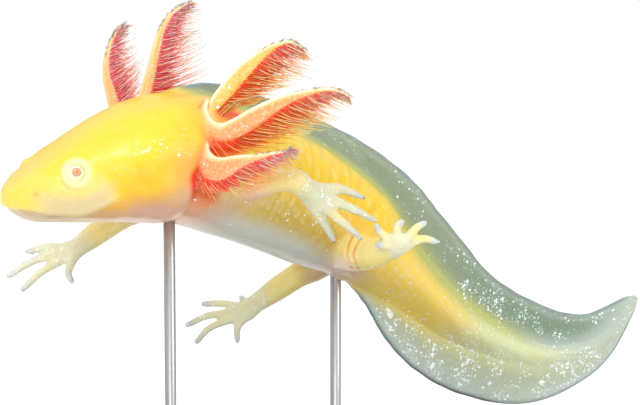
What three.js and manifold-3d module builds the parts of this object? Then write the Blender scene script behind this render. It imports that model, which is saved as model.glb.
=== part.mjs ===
// A life-size axolotl (Ambystoma mexicanum) of the golden albino form, held in a swimming pose on a plain
// display stand.
//
// Millimetres, +Z up. The origin is the centre of the base's underside, and the head looks towards -X and -Y.
// The flesh is one loft along the spine, parted by thin cuts into head, neck, trunk, hips and tail. The fins,
// gills and legs grow out of it, and everything that meets keeps a gap of GAP between its faces.
import * as THREE from "three";
import { mergeVertices } from "three/addons/utils/BufferGeometryUtils.js";
import Module from "manifold-3d";

const wasm = await Module();
wasm.setup();

// ---- Driving dimensions ----

const GAP = 0.3; // clear distance between neighbouring solids
const MERGE_DISTANCE = 1e-4; // corners closer than this are one
const CURVE_DIVISIONS = 400; // steps in which the spine is measured
const SNOUT_ROUND = 7; // length over which the snout rounds off
const TAIL_ROUND = 3; // the same at the tip of the tail
const BODY_SIDES = 18; // corners of a body section
const SNOUT_STATIONS = [0.003, 0.03, 0.1, 0.25, 0.5, 0.8]; // sections on the snout, as shares of SNOUT_ROUND
const STATION_SPACING = 4.6; // greatest distance between sections of the body, and of the tail
const TAIL_SPACING = 7;
const TAIL_FROM = 100;
const HEAD_SQUARENESS = 2.5; // a section is an ellipse at 2, and squarer above it
const BODY_SQUARENESS = 2;
const SQUARENESS_FADE = [30, 60]; // where the head's section turns into the body's
const TAIL_TAPER = 2.6; // how thinly the tail's flesh runs out into its fins; 1 is an ellipse
const TAPER_FADE = [98, 125]; // where it begins and is complete

// The middle of the flesh, from the snout's tip to the tail's tip.
const SPINE = [
  [-60.8, -41.3, 79.6],
  [-40.4, -32, 84.1],
  [-23.8, -23.1, 86.6],
  [-13.7, -13.6, 82.9],
  [-3.8, -4.3, 77.2],
  [5.2, 3.1, 71.6],
  [15.8, 8.9, 64.8],
  [25.1, 13.8, 55.4],
  [37.2, 22.3, 43.2],
  [46.8, 29.3, 36],
  [58.6, 37.2, 29.8],
  [69.1, 42.3, 28],
  [79.5, 46.3, 31],
  [89.2, 50.4, 41.3],
];

// How far the back leans from upright towards the animal's left, in degrees: [distance from the snout, lean].
const LEAN = [
  [0, -5],
  [36, -5],
  [56, 0],
  [200, 0],
];

// The flesh, in sections: [distance from the snout, half width, height above the spine, depth below it].
const FLESH = [
  [0, 9.2, 3.1, 6.4],
  [6, 12.8, 4.7, 7.2],
  [11, 15.2, 6.7, 8.7],
  [17, 17.6, 9.2, 10],
  [23, 19.2, 11.5, 11.2],
  [29, 20.2, 13, 12.4],
  [35, 20, 14.2, 13.8],
  [40, 18.2, 14.4, 14.8],
  [46, 15.8, 13.8, 15.8],
  [56, 14.2, 13.8, 15.8],
  [70, 15.4, 14.1, 15],
  [84, 14.8, 13.6, 14.1],
  [96, 12.8, 11.9, 12.3],
  [106, 10.2, 9.8, 9.9],
  [118, 7.8, 7.9, 7.7],
  [131, 5.9, 6.6, 6.6],
  [145, 4.3, 5.3, 5.3],
  [161, 3, 3.8, 3.8],
  [175, 2.1, 2.6, 2.6],
  [190, 1.3, 1.6, 1.6],
  [198.5, 0.9, 1, 1],
];

// How far the fins stand out of the flesh: [distance from the snout, upper fin, lower fin].
const FINS = [
  [38, 0, 0],
  [41, 0.8, 0],
  [48, 3.9, 0],
  [70, 5.3, 0],
  [96, 7.2, 0],
  [104, 8.8, 0.2],
  [112, 10.2, 2.7],
  [120, 10.6, 6.8],
  [131, 10, 9.4],
  [145, 9.1, 10.5],
  [161, 9.2, 10.2],
  [175, 7.9, 6.5],
  [188, 5.2, 2.7],
  [198.5, 0.6, 0.6],
];
const FLESH_LIMIT = 22; // more than any half width, height or depth above
const FIN_ROOT = 1.8; // thickness of a fin where it leaves the flesh
const FIN_EDGE = 0.8; // thickness of a fin at its edge
const FIN_LEAST = 0.4; // least height of a fin, at its ends
const FIN_SUNK = 1.2; // how deep a fin starts inside the flesh before it is cut back

// Lengths of the flesh and of the fins, each a node: [name, from, to].
const FLESH_NODES = [
  ["head", 0, 36],
  ["neck", 36, 47],
  ["trunk_front", 47, 70],
  ["trunk_rear", 70, 92],
  ["hips", 92, 106],
  ["tail_base", 106, 132],
  ["tail_middle", 132, 162],
  ["tail_tip", 162, 198.5],
];
const UPPER_FIN_NODES = [
  ["back_fin_front", 41, 74],
  ["back_fin_rear", 74, 106],
  ["tail_fin_upper_base", 106, 132],
  ["tail_fin_upper_middle", 132, 162],
  ["tail_fin_upper_tip", 162, 198.3],
];
const LOWER_FIN_NODES = [
  ["tail_fin_lower_base", 106, 132],
  ["tail_fin_lower_middle", 132, 162],
  ["tail_fin_lower_tip", 162, 198.3],
];

// The mouth's line on the side of the head, as [distance from the snout, height], and the jaw's back edge.
const MOUTH = [
  [-4, -1.4],
  [2, -2.8],
  [7, -5.2],
  [13, -6.9],
  [17, -6.0],
  [22, -4.2],
];

const JAW_VIEW = 12; // the section whose side view draws the jaw
const EYE = { along: 13.2, out: 13.8, up: 2.1, radius: 2.4, sides: 12, rings: 7 };

// Legs, as joint positions from the shoulder or hip inside the flesh to the middle of the palm, radii along
// them, each digit's middle and tip in order from the inner one, and a digit's radii at DIGIT.steps.
const LEGS = {
  left_fore: {
    nodes: ["left_upper_arm", "left_forearm", "left_hand"],
    joints: [[-14, -22.2, 78.5], [0.5, -29.8, 82], [4.6, -28.2, 80], [7, -26.8, 78]],
    radii: [3.5, 2.5, 2.7],
    digits: [
      [[9.1, -24.7, 71.4], [11.4, -23.8, 67]],
      [[13.4, -26.7, 71.8], [17.5, -25.7, 68]],
      [[15.6, -24.8, 74.7], [20.9, -23.2, 71.6]],
      [[12.6, -24.5, 79.3], [18.2, -22.5, 76.9]],
    ],
    digitRadii: [1.4, 1.2, 0.86, 0.55],
  },
  right_fore: {
    nodes: ["right_upper_arm", "right_forearm", "right_hand"],
    joints: [[-26.4, -7.5, 75.8], [-38.2, -1.3, 69.8], [-47.9, -6.2, 63.4], [-50.4, -7.4, 61.9]],
    radii: [3.7, 3.1, 2.4],
    digits: [
      [[-50.1, -10.5, 57.8], [-48.9, -12.2, 55.7]],
      [[-56.3, -10, 58], [-60.9, -12.5, 53.9]],
      [[-58.4, -8.7, 60.3], [-64.5, -10, 56.7]],
      [[-55.8, -7.4, 63.4], [-60.4, -7.5, 62.1]],
    ],
    digitRadii: [1.2, 0.98, 0.86, 0.76],
  },
  left_hind: {
    nodes: ["left_thigh", "left_shin", "left_foot"],
    joints: [[13.2, 0.6, 61.4], [18.9, -9.5, 62.2], [23.6, -14.1, 64.2], [26.1, -15.9, 65.6]],
    radii: [4.6, 3.8, 3],
    digits: [
      [[22.1, -17.5, 65.4], [20.6, -18.1, 65.8]],
      [[21.4, -16.6, 68.6], [20.5, -17.3, 70.4]],
      [[25.5, -16.4, 69.5], [27.1, -16.2, 71.1]],
      [[29.7, -15.5, 68.9], [32.4, -15.1, 70.6]],
      [[31.8, -14.8, 66.5], [35.1, -14.9, 65.7]],
    ],
    digitRadii: [1.3, 1.08, 0.92, 0.8],
  },
  right_hind: {
    nodes: ["right_thigh", "right_shin", "right_foot"],
    joints: [[11.3, 14.3, 58.3], [2.2, 19.4, 51.9], [-6.9, 16.6, 46.2], [-10.2, 15.4, 44]],
    radii: [4.2, 3.1, 2.4],
    digits: [
      [[-10.8, 18.2, 46.4], [-11.4, 19.3, 47.1]],
      [[-15.6, 17.1, 45.6], [-21, 17.7, 45.4]],
      [[-19, 15.2, 43], [-24.6, 14, 40.7]],
      [[-18.5, 13.4, 40.4], [-22.1, 11.2, 36.9]],
      [[-12, 13.8, 40.2], [-11.9, 11.4, 37]],
    ],
    digitRadii: [1.2, 0.98, 0.86, 0.76],
  },
};
const LIMB_STEPS = 3;
const LIMB_SIDES = 8;
const SMALL_SIDES = 5; // corners of a digit's section
const UPPER_BULGE = 0.3; // extra radius in the middle of an upper arm or thigh
const LOWER_BULGE = 0.2;
const PALM = {
  back: 0.5, // how far the palm starts before the wrist
  ahead: 0.35, // how far it goes on past its middle, in wrist radii
  widths: [0.95, 1.12, 1.25, 1.1], // half widths along it, in wrist radii
  flattening: 0.62,
};
const DIGIT = {
  steps: [0, 0.4, 0.8, 1],
  rootShare: 0.15, // how far a digit's root lies from the palm's middle towards the digit's own middle
  rootSpread: 1.2, // how far apart the outer digits' roots are, in wrist radii
  tipShare: 0.8, // how much of its last radius a digit's tip keeps for its rounded end
  capAngles: [0.9], // where the rounded end's sections are, in radians
};

// Gills. Each is a blade: its upper edge runs from inside the neck to the tip, its flat side faces one way.
// At GILL_STEPS it has the width of its fleshy face and the reach of the filaments that begin past it.
const GILL_STEPS = [0, 0.1, 0.2, 0.35, 0.55, 0.8, 1];
const GILLS = {
  gill_left_upper: {
    edge: [
      [-17.7, -32.6, 94.4], [-16.9, -33.6, 98], [-15.4, -33, 101.2], [-12.6, -32.2, 104.7],
      [-9, -31.7, 108.4], [-5.2, -30.8, 111], [-1.4, -29.6, 112.6], [1.6, -28.5, 112.9],
      [4.3, -27.7, 111.3],
    ],
    faces: [0.1, -1, 0.15],
    widths: [1.4, 2.3, 3.2, 3.7, 3.2, 1.3, 0.5],
    reach: [3.4, 4.4, 5.4, 7.8, 9.2, 7.8, 2.8],
    start: 0.03,
    sweep: 0.48,
    rootSweep: 0.5,
  },
  gill_left_middle: {
    edge: [
      [-16.2, -33.4, 100], [-16.6, -35.2, 98.8], [-16.4, -36.3, 97.3], [-15.4, -36.8, 96],
      [-13.5, -37, 95.4], [-10.7, -37.4, 96.6], [-6.6, -38, 99], [-2.6, -37.8, 100.8],
      [1.5, -37.1, 102.1], [5.6, -36, 102.8], [9.3, -34.4, 103], [12.6, -33.5, 102.4],
      [14.6, -33.2, 101],
    ],
    faces: [0, -1, 0.1],
    widths: [0.9, 1.5, 4.3, 4.5, 3, 1.2, 0.5],
    reach: [3, 4.5, 7, 9.4, 9.2, 5.5, 2],
    start: 0.12,
    sweep: 0.95,
    rootSweep: 0.2,
  },
  gill_left_lower: {
    edge: [
      [-16.1, -39.2, 91.4], [-15.9, -40.4, 89.9], [-14.7, -41.6, 88.8], [-13, -43, 88.7],
      [-10, -44.4, 89.3], [-6.6, -44.9, 89.6], [-3.4, -44.9, 90], [-0.6, -44.3, 90.2],
      [1.5, -43.7, 90.8],
    ],
    faces: [-0.1, -1, 0],
    widths: [1, 3.6, 5.4, 4.4, 2.4, 0.9, 0.4],
    reach: [2.8, 3.4, 4.2, 4.8, 5.2, 4.8, 2.6],
    start: 0.1,
    sweep: 1.35,
    rootSweep: 0.6,
  },
  gill_right_upper: {
    edge: [
      [-33.8, -13.5, 97.5], [-32.6, -11.4, 101.7], [-31.1, -9.1, 107], [-30.2, -7.6, 110.7],
      [-28.9, -6.1, 114.3], [-26.9, -4.7, 117.2], [-24.4, -3.9, 119], [-22.4, -3.3, 119.9],
    ],
    faces: [0.15, -1, 0.1],
    widths: [3.2, 3, 2.7, 2.3, 2, 1.2, 0.5],
    reach: [12.5, 13, 12, 9.6, 7.6, 5.2, 2.2],
    start: 0.05,
    sweep: 0.4,
    rootSweep: -0.15,
  },
  gill_right_middle: {
    edge: [
      [-40.5, -5.8, 94.5], [-42.3, -0.9, 100.9], [-42.7, 2.1, 104.5], [-42.2, 4.1, 107.8],
      [-41.2, 5.5, 110.5], [-39.9, 6.3, 112.8], [-38.5, 7, 114],
    ],
    faces: [0.2, -1, 0.1],
    widths: [3, 2.8, 2.6, 2.1, 1.6, 0.9, 0.4],
    reach: [6.5, 7.6, 8.3, 8, 6.3, 3.9, 2],
    start: 0.05,
    sweep: 0.38,
    rootSweep: 0,
  },
  gill_right_lower: {
    edge: [
      [-31.5, -14.5, 85.5], [-34.5, -8, 86], [-35.5, 1.5, 86], [-34, 11.5, 86.5], [-30.8, 20, 87],
    ],
    faces: [1, 0.1, -0.1],
    widths: [3, 3.6, 3.8, 3, 2, 1, 0.4],
    reach: [2.4, 3, 3.8, 4.4, 4.6, 4, 2.2],
    start: 0.16,
    sweep: 1,
    rootSweep: 0.5,
  },
};
const GILL = {
  sections: 12,
  rim: 0.4, // half thickness of the bead along the upper edge
  rimEdge: 0.2, // the same where the bead ends
  rootHalf: 1.5, // half thickness of the fleshy face at the neck and at the tip
  tipHalf: 0.45,
  faceEdge: 0.4, // half thickness where the face ends, and where the filaments end
  fringeEdge: 0.3,
  band: 1.2, // how far the filaments' common root goes past the face
  full: 0.9, // the fringe's length as a share of its reach, in a tuft and between two tufts
  notch: 0.74,
  beginning: 0.08, // how fast the fringe grows to its full length, as a share of the edge
  tipSweep: 1.7, // how much further the filaments sweep towards the tip at the very tip
  tipSweepFrom: 0.72,
  rootSweepTo: 0.34, // how far along a gill its rootSweep still counts
  tipReach: 0.5, // how far the fringe goes on past the edge's end, as a share of its reach there
  tipSize: 0.4, // size of the last section, as a share of the one before
};

const BASE = { length: 124, depth: 88, height: 7, corner: 26, bevel: 1.2, cornerSteps: 5 };
const ROD_RADIUS = 1.3;
const ROD_SIDES = 16;
const RODS = [
  ["stand_rod_front", 39.5],
  ["stand_rod_rear", 92.5],
];

// ---- Materials ----

function finish(color, roughness, metalness = 0) {
  return new THREE.MeshStandardMaterial({ color, roughness, metalness });
}

const SKIN = finish(0xf3d648, 0.35);
const LIMB_SKIN = finish(0xe6dd8c, 0.35);
const FIN_SKIN = finish(0xa3b59c, 0.3);
const GILL_SKIN = finish(0xee6a4c, 0.4);
const EYE_SHINE = finish(0xf0b070, 0.1);
const STAND_PAINT = finish(0x3c3d3f, 0.5);
const STAND_STEEL = finish(0xb9bbbd, 0.3, 1);

// ---- Small tools ----

const vec = (xyz) => new THREE.Vector3(...xyz);
const clamp01 = (x) => Math.min(1, Math.max(0, x));

// One column of a table at a place between its rows, along a curve that never overshoots.
function lookUp(table, at, column) {
  const last = table.length - 1;
  if (at <= table[0][0]) return table[0][column];
  if (at >= table[last][0]) return table[last][column];
  const slope = (i) => (table[i + 1][column] - table[i][column]) / (table[i + 1][0] - table[i][0]);
  const tangent = (i) => {
    if (i === 0) return slope(0);
    if (i === last) return slope(last - 1);
    const [a, b] = [slope(i - 1), slope(i)];
    return a * b > 0 ? (2 * a * b) / (a + b) : 0;
  };
  const i = table.findIndex((row, k) => k < last && at < table[k + 1][0]);
  const span = table[i + 1][0] - table[i][0];
  const t = (at - table[i][0]) / span;
  const [t2, t3] = [t * t, t * t * t];
  return (
    (2 * t3 - 3 * t2 + 1) * table[i][column] +
    (t3 - 2 * t2 + t) * span * tangent(i) +
    (-2 * t3 + 3 * t2) * table[i + 1][column] +
    (t3 - t2) * span * tangent(i + 1)
  );
}

// A closed solid from a geometry, whichever way its faces point.
function solidOf(geometry) {
  const flat = geometry.index ? geometry.toNonIndexed() : geometry;
  const bare = new THREE.BufferGeometry().setAttribute("position", flat.getAttribute("position"));
  const merged = mergeVertices(bare, MERGE_DISTANCE);
  const corners = merged.index.array;
  const build = (turned) => {
    const kept = [];
    for (let i = 0; i < corners.length; i += 3) {
      const [a, b, c] = [corners[i], corners[i + 1], corners[i + 2]];
      if (a !== b && b !== c && c !== a) kept.push(...(turned ? [a, c, b] : [a, b, c]));
    }
    const vertProperties = new Float32Array(merged.attributes.position.array);
    return new wasm.Manifold(new wasm.Mesh({ numProp: 3, vertProperties, triVerts: new Uint32Array(kept) }));
  };
  const made = build(false);
  return made.volume() < 0 ? build(true) : made;
}

// A closed skin over rings of equally many points, with a fan over each end.
function loft(rings) {
  const sides = rings[0].length;
  const points = rings.flat();
  const faces = [];
  for (let i = 0; i + 1 < rings.length; i++) {
    for (let k = 0; k < sides; k++) {
      const [a, b] = [i * sides + k, i * sides + ((k + 1) % sides)];
      faces.push(a, b, a + sides, b, b + sides, a + sides);
    }
  }
  for (const end of [0, rings.length - 1]) {
    const middle = rings[end].reduce((sum, p) => sum.add(p), new THREE.Vector3()).divideScalar(sides);
    const hub = points.push(middle) - 1;
    for (let k = 0; k < sides; k++) {
      const [a, b] = [end * sides + k, end * sides + ((k + 1) % sides)];
      faces.push(...(end === 0 ? [hub, b, a] : [hub, a, b]));
    }
  }
  return solidOf(new THREE.BufferGeometry().setFromPoints(points).setIndex(faces));
}

// The largest body of a solid: a cut can leave a crumb beyond the surface that it follows.
function largest(solid) {
  return solid.decompose().reduce((best, one) => (one.volume() > best.volume() ? one : best));
}

const root = new THREE.Group();

function addNode(name, solid, material) {
  const { vertProperties, triVerts, numProp } = solid.getMesh();
  const geometry = new THREE.BufferGeometry();
  geometry.setAttribute("position", new THREE.BufferAttribute(new Float32Array(vertProperties), numProp));
  geometry.setIndex(new THREE.BufferAttribute(new Uint32Array(triVerts), 1));
  geometry.computeVertexNormals();
  const mesh = new THREE.Mesh(geometry, material.clone());
  mesh.name = name;
  root.add(mesh);
}

// ---- The spine and its frames ----

const spine = new THREE.CatmullRomCurve3(SPINE.map(vec), false, "catmullrom", 0.5);
spine.arcLengthDivisions = CURVE_DIVISIONS;
const LENGTH = spine.getLength();

// Place, backward direction, left and up at a distance from the snout.
function frameAt(along) {
  const u = clamp01(along / LENGTH);
  const back = spine.getTangentAt(u);
  const upright = new THREE.Vector3(0, 0, 1).addScaledVector(back, -back.z).normalize();
  const lean = THREE.MathUtils.degToRad(lookUp(LEAN, along, 1));
  const level = new THREE.Vector3().crossVectors(back, upright);
  const up = upright.multiplyScalar(Math.cos(lean)).addScaledVector(level, Math.sin(lean));
  const left = new THREE.Vector3().crossVectors(back, up);
  return { place: spine.getPointAt(u), back, left, up };
}

function pointIn(frame, left, up) {
  return frame.place.clone().addScaledVector(frame.left, left).addScaledVector(frame.up, up);
}

// ---- Flesh ----

// How much of its full size a section has near the two rounded ends.
function rounding(along) {
  const front = 1 - clamp01(along / SNOUT_ROUND);
  const rear = 1 - clamp01((LENGTH - along) / TAIL_ROUND);
  return Math.sqrt(Math.max(0, 1 - front * front)) * Math.sqrt(Math.max(0, 1 - rear * rear));
}

// Half width, height and depth of the flesh.
function fleshSize(along) {
  const share = rounding(along);
  return [1, 2, 3].map((column) => lookUp(FLESH, along, column) * share);
}

// A section of the flesh, grown by a margin. The head's sections are squarer than an ellipse.
function fleshRing(along, grow = 0) {
  const frame = frameAt(along);
  const [half, above, below] = fleshSize(along);
  const fade = THREE.MathUtils.smoothstep(along, ...SQUARENESS_FADE);
  const power = 2 / THREE.MathUtils.lerp(HEAD_SQUARENESS, BODY_SQUARENESS, fade);
  const taper = power + (TAIL_TAPER - 1) * THREE.MathUtils.smoothstep(along, ...TAPER_FADE);
  return Array.from({ length: BODY_SIDES }, (_, k) => {
    const angle = (2 * Math.PI * k) / BODY_SIDES;
    const [c, s] = [Math.cos(angle), Math.sin(angle)];
    const left = (half + grow) * Math.sign(c) * Math.abs(c) ** taper;
    const up = ((s > 0 ? above : below) + grow) * Math.sign(s) * Math.abs(s) ** power;
    return pointIn(frame, left, up);
  });
}

// Where sections are set along a stretch: close together on the snout, wider along the body.
function stations(from, to) {
  const snout = SNOUT_STATIONS.map((share) => share * SNOUT_ROUND);
  const count = Math.ceil((to - from) / (from < TAIL_FROM ? STATION_SPACING : TAIL_SPACING));
  const even = Array.from({ length: count + 1 }, (_, i) => from + ((to - from) * i) / count);
  return from > 0 ? even : [...snout, ...even.filter((at) => at > SNOUT_ROUND)];
}

const fleshLength = (from, to, grow = 0) => loft(stations(from, to).map((at) => fleshRing(at, grow)));

const TAIL_END = LENGTH - 0.01; // the last section, just short of the point
const envelope = fleshLength(0, TAIL_END, GAP); // what grows out of the flesh is cut back by this

// ---- Head, jaw and eyes ----

// The jaw's region, a side view pulled through the head's whole width.
function jawRegion(grow) {
  const frame = frameAt(JAW_VIEW);
  const sideView = (at, up) => {
    const point = pointIn(frameAt(Math.max(0, at)), 0, up + grow);
    point.addScaledVector(frame.back, Math.min(0, at)).sub(frame.place);
    return new THREE.Vector2(point.dot(frame.back), point.dot(frame.up));
  };
  const [first, corner] = [MOUTH[0][0], MOUTH[MOUTH.length - 1][0]];
  const below = -2 * FLESH_LIMIT;
  const outline = [...MOUTH, [corner, below], [first, below]].map(([at, up]) => sideView(at, up));
  outline[MOUTH.length - 1].x += grow;
  outline[MOUTH.length].x += grow;
  const width = 4 * FLESH_LIMIT;
  const prism = new THREE.ExtrudeGeometry(new THREE.Shape(outline), { depth: width, bevelEnabled: false });
  prism.translate(0, 0, -width / 2);
  const turn = new THREE.Matrix4().makeBasis(frame.back, frame.up, frame.left);
  prism.applyMatrix4(turn.setPosition(frame.place));
  return solidOf(prism);
}

function eyeBall(side, grow = 0) {
  const centre = pointIn(frameAt(EYE.along), side * EYE.out, EYE.up);
  const ball = new THREE.SphereGeometry(EYE.radius + grow, EYE.sides, EYE.rings);
  ball.translate(centre.x, centre.y, centre.z);
  return solidOf(ball);
}

function addHead(from, to) {
  const whole = fleshLength(from, to - GAP / 2).subtract(eyeBall(1, GAP)).subtract(eyeBall(-1, GAP));
  addNode("head", largest(whole.subtract(jawRegion(GAP / 2))), SKIN);
  addNode("lower_jaw", largest(whole.intersect(jawRegion(-GAP / 2))), SKIN);
  addNode("eye_left", eyeBall(1), EYE_SHINE);
  addNode("eye_right", eyeBall(-1), EYE_SHINE);
}

// ---- Fins ----

// A length of the upper (side 1) or lower (side -1) fin, a tapering blade that grows out of the flesh.
function finLength(side, from, to) {
  const column = side > 0 ? 1 : 2;
  const rings = stations(from, to).map((at) => {
    const frame = frameAt(at);
    const surface = fleshSize(at)[column];
    const edge = surface + Math.max(FIN_LEAST, lookUp(FINS, at, column));
    const root = Math.max(FIN_LEAST, surface - FIN_SUNK);
    const middle = (surface + edge) / 2;
    const profile = [
      [FIN_ROOT / 2, root],
      [(FIN_ROOT + FIN_EDGE) / 4, middle],
      [FIN_EDGE / 2, edge],
      [-FIN_EDGE / 2, edge],
      [-(FIN_ROOT + FIN_EDGE) / 4, middle],
      [-FIN_ROOT / 2, root],
    ];
    return profile.map(([left, up]) => pointIn(frame, left, side * up));
  });
  return largest(loft(rings).subtract(envelope));
}

// ---- Legs ----

// A small ring in the plane of two directions, flattened along the second.
function circle(centre, first, second, radius, flattening = 1, sides = SMALL_SIDES) {
  return Array.from({ length: sides }, (_, k) => {
    const angle = (2 * Math.PI * k) / sides;
    const point = centre.clone().addScaledVector(first, Math.cos(angle) * radius);
    return point.addScaledVector(second, Math.sin(angle) * radius * flattening);
  });
}

// A round-ended length of limb between two points, thicker in its middle by a bulge.
function limbLength(start, end, startRadius, endRadius, bulge = 0, grow = 0) {
  const length = start.distanceTo(end);
  const [startSize, endSize] = [startRadius + grow, endRadius + grow];
  const profile = [new THREE.Vector2(0, -startSize)];
  profile.push(new THREE.Vector2(startSize * Math.SQRT1_2, -startSize * Math.SQRT1_2));
  for (let i = 0; i <= LIMB_STEPS; i++) {
    const t = i / LIMB_STEPS;
    const radius = THREE.MathUtils.lerp(startSize, endSize, t) + bulge * Math.sin(Math.PI * t);
    profile.push(new THREE.Vector2(radius, length * t));
  }
  profile.push(new THREE.Vector2(endSize * Math.SQRT1_2, length + endSize * Math.SQRT1_2));
  profile.push(new THREE.Vector2(0, length + endSize));
  const limb = new THREE.LatheGeometry(profile, LIMB_SIDES);
  const direction = end.clone().sub(start).normalize();
  limb.applyQuaternion(new THREE.Quaternion().setFromUnitVectors(new THREE.Vector3(0, 1, 0), direction));
  limb.translate(start.x, start.y, start.z);
  return solidOf(limb);
}

// A digit from its root in the palm, through its middle, to its rounded tip.
function digit(base, middle, tip, radii) {
  const last = radii[radii.length - 1];
  const end = tip.clone().addScaledVector(tip.clone().sub(middle).normalize(), -last * DIGIT.tipShare);
  const curve = new THREE.CatmullRomCurve3([base, middle, end], false, "catmullrom", 0.5);
  const { tangents, normals, binormals } = curve.computeFrenetFrames(LIMB_STEPS);
  const profile = DIGIT.steps.map((step, i) => [step, radii[i]]);
  const ring = (i, radius, beyond = 0) => {
    const centre = curve.getPointAt(i / LIMB_STEPS).addScaledVector(tangents[i], beyond);
    return circle(centre, normals[i], binormals[i], radius);
  };
  const rings = [];
  for (let i = 0; i <= LIMB_STEPS; i++) rings.push(ring(i, lookUp(profile, i / LIMB_STEPS, 1)));
  for (const angle of DIGIT.capAngles) {
    rings.push(ring(LIMB_STEPS, last * Math.cos(angle), last * Math.sin(angle)));
  }
  return loft(rings);
}

// A flat palm from just before the wrist, as wide as the fan of its digits.
function palmOf(wrist, palm, spread, radius, forward) {
  const reach = palm.clone().sub(wrist).normalize();
  const places = [
    wrist.clone().addScaledVector(reach, -PALM.back),
    wrist.clone().lerp(palm, 0.5),
    palm,
    palm.clone().addScaledVector(forward, radius * PALM.ahead),
  ];
  const wide = spread.clone().addScaledVector(reach, -spread.dot(reach)).normalize();
  const flat = new THREE.Vector3().crossVectors(reach, wide);
  const ring = (place, i) => circle(place, wide, flat, radius * PALM.widths[i], PALM.flattening, LIMB_SIDES);
  return loft(places.map(ring));
}

function addLeg({ nodes, joints, radii, digits, digitRadii }) {
  const [socket, bend, wrist, palm] = joints.map(vec);
  const [rootRadius, bendRadius, wristRadius] = radii;
  const lengths = (grow) => [
    limbLength(socket, bend, rootRadius, bendRadius, UPPER_BULGE, grow),
    limbLength(bend, wrist, bendRadius, wristRadius, LOWER_BULGE, grow),
  ];
  const [upper, lower] = lengths(0);
  const [upperMargin, lowerMargin] = lengths(GAP);
  addNode(nodes[0], largest(upper.subtract(envelope)), LIMB_SKIN);
  addNode(nodes[1], largest(lower.subtract(upperMargin).subtract(envelope)), LIMB_SKIN);
  const heading = ([middle]) => vec(middle).sub(palm).normalize();
  const [first, last] = [heading(digits[0]), heading(digits[digits.length - 1])];
  const spread = last.clone().sub(first).normalize();
  let hand = palmOf(wrist, palm, spread, wristRadius, first.add(last).normalize());
  digits.forEach(([middle, tip], i) => {
    const side = i / (digits.length - 1) - 0.5;
    const base = palm.clone().addScaledVector(spread, side * wristRadius * DIGIT.rootSpread);
    base.addScaledVector(vec(middle).sub(palm), DIGIT.rootShare);
    hand = hand.add(digit(base, vec(middle), vec(tip), digitRadii));
  });
  addNode(nodes[2], largest(hand.subtract(lowerMargin).subtract(upperMargin).subtract(envelope)), LIMB_SKIN);
}

// ---- Gills ----

// How far the filaments lean towards the tip at a place along the edge.
function sweepAt(sweep, rootSweep, t) {
  const atTip = THREE.MathUtils.smoothstep(t, GILL.tipSweepFrom, 1);
  const atRoot = 1 - THREE.MathUtils.smoothstep(t, 0, GILL.rootSweepTo);
  return sweep + GILL.tipSweep * atTip + rootSweep * atRoot;
}

// A fleshy blade with a bead along its upper edge and the envelope of its filaments, grown by a margin.
function blade({ edge, faces, widths, reach, start, sweep, rootSweep }, grow = 0) {
  const curve = new THREE.CatmullRomCurve3(edge.map(vec), false, "catmullrom", 0.5);
  const sizes = GILL_STEPS.map((step, i) => [step, widths[i], reach[i]]);
  const ringAt = (t, share, beyond = 0, size = 1) => {
    const along = curve.getTangentAt(t);
    const out = along.clone().cross(vec(faces)).normalize();
    const across = out.clone().cross(along);
    const place = curve.getPointAt(t).addScaledVector(along, beyond);
    const width = lookUp(sizes, t, 1) * size;
    const grown = THREE.MathUtils.smoothstep(t, start - GILL.beginning, start + GILL.beginning);
    const length = lookUp(sizes, t, 2) * share * grown * size + grow;
    const lean = out.clone().addScaledVector(along, sweepAt(sweep, rootSweep, t)).normalize();
    const fleshy = THREE.MathUtils.lerp(GILL.rootHalf, GILL.tipHalf, t);
    const half = Math.min(fleshy, Math.max(GILL.rim, width / 2));
    const past = place.clone().addScaledVector(out, width + GILL.band * size);
    const profile = [
      [place.clone().addScaledVector(out, -grow), GILL.rimEdge],
      [place.clone().addScaledVector(out, GILL.rim), GILL.rim],
      [place.clone().addScaledVector(out, Math.max(width / 2, 2 * GILL.rim)), half],
      [place.clone().addScaledVector(out, Math.max(width, 3 * GILL.rim)), GILL.faceEdge],
      [past.addScaledVector(lean, length), GILL.fringeEdge],
    ];
    const side = (sign) => profile.map(([p, h]) => p.clone().addScaledVector(across, sign * (h + grow)));
    return [...side(1), ...side(-1).reverse()];
  };
  const rings = Array.from({ length: GILL.sections }, (_, i) => {
    return ringAt(i / (GILL.sections - 1), i % 2 ? GILL.full : GILL.notch);
  });
  rings.push(ringAt(1, GILL.full, reach[reach.length - 1] * GILL.tipReach + grow, GILL.tipSize));
  return loft(rings);
}

// The gills in turn; each is cut back where it would touch the neck or a gill before it.
function addGills() {
  const margins = [envelope];
  for (const [name, shape] of Object.entries(GILLS)) {
    const free = margins.reduce((solid, margin) => solid.subtract(margin), blade(shape));
    addNode(name, largest(free), GILL_SKIN);
    margins.push(blade(shape, GAP));
  }
}

// ---- Stand ----

function addStand() {
  const { length, depth, height, corner, bevel } = BASE;
  const [x, y] = [length / 2 - bevel, depth / 2 - bevel];
  const outline = new THREE.Shape();
  const corners = [[1, -1], [1, 1], [-1, 1], [-1, -1]];
  corners.forEach(([sideX, sideY], i) => {
    const start = (Math.PI / 2) * (i - 1);
    outline.absarc(sideX * (x - corner), sideY * (y - corner), corner, start, start + Math.PI / 2);
  });
  const plate = new THREE.ExtrudeGeometry(outline, {
    depth: height - 2 * bevel,
    bevelThickness: bevel,
    bevelSize: bevel,
    bevelSegments: 1,
    curveSegments: BASE.cornerSteps,
  });
  plate.translate(0, 0, bevel);
  addNode("stand_base", solidOf(plate), STAND_PAINT);
  for (const [name, along] of RODS) {
    const { place } = frameAt(along);
    const rod = new THREE.CylinderGeometry(ROD_RADIUS, ROD_RADIUS, place.z - height, ROD_SIDES);
    rod.rotateX(Math.PI / 2);
    rod.translate(place.x, place.y, (place.z + height) / 2);
    addNode(name, largest(solidOf(rod).subtract(envelope)), STAND_STEEL);
  }
}

// ---- The whole model ----

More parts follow.
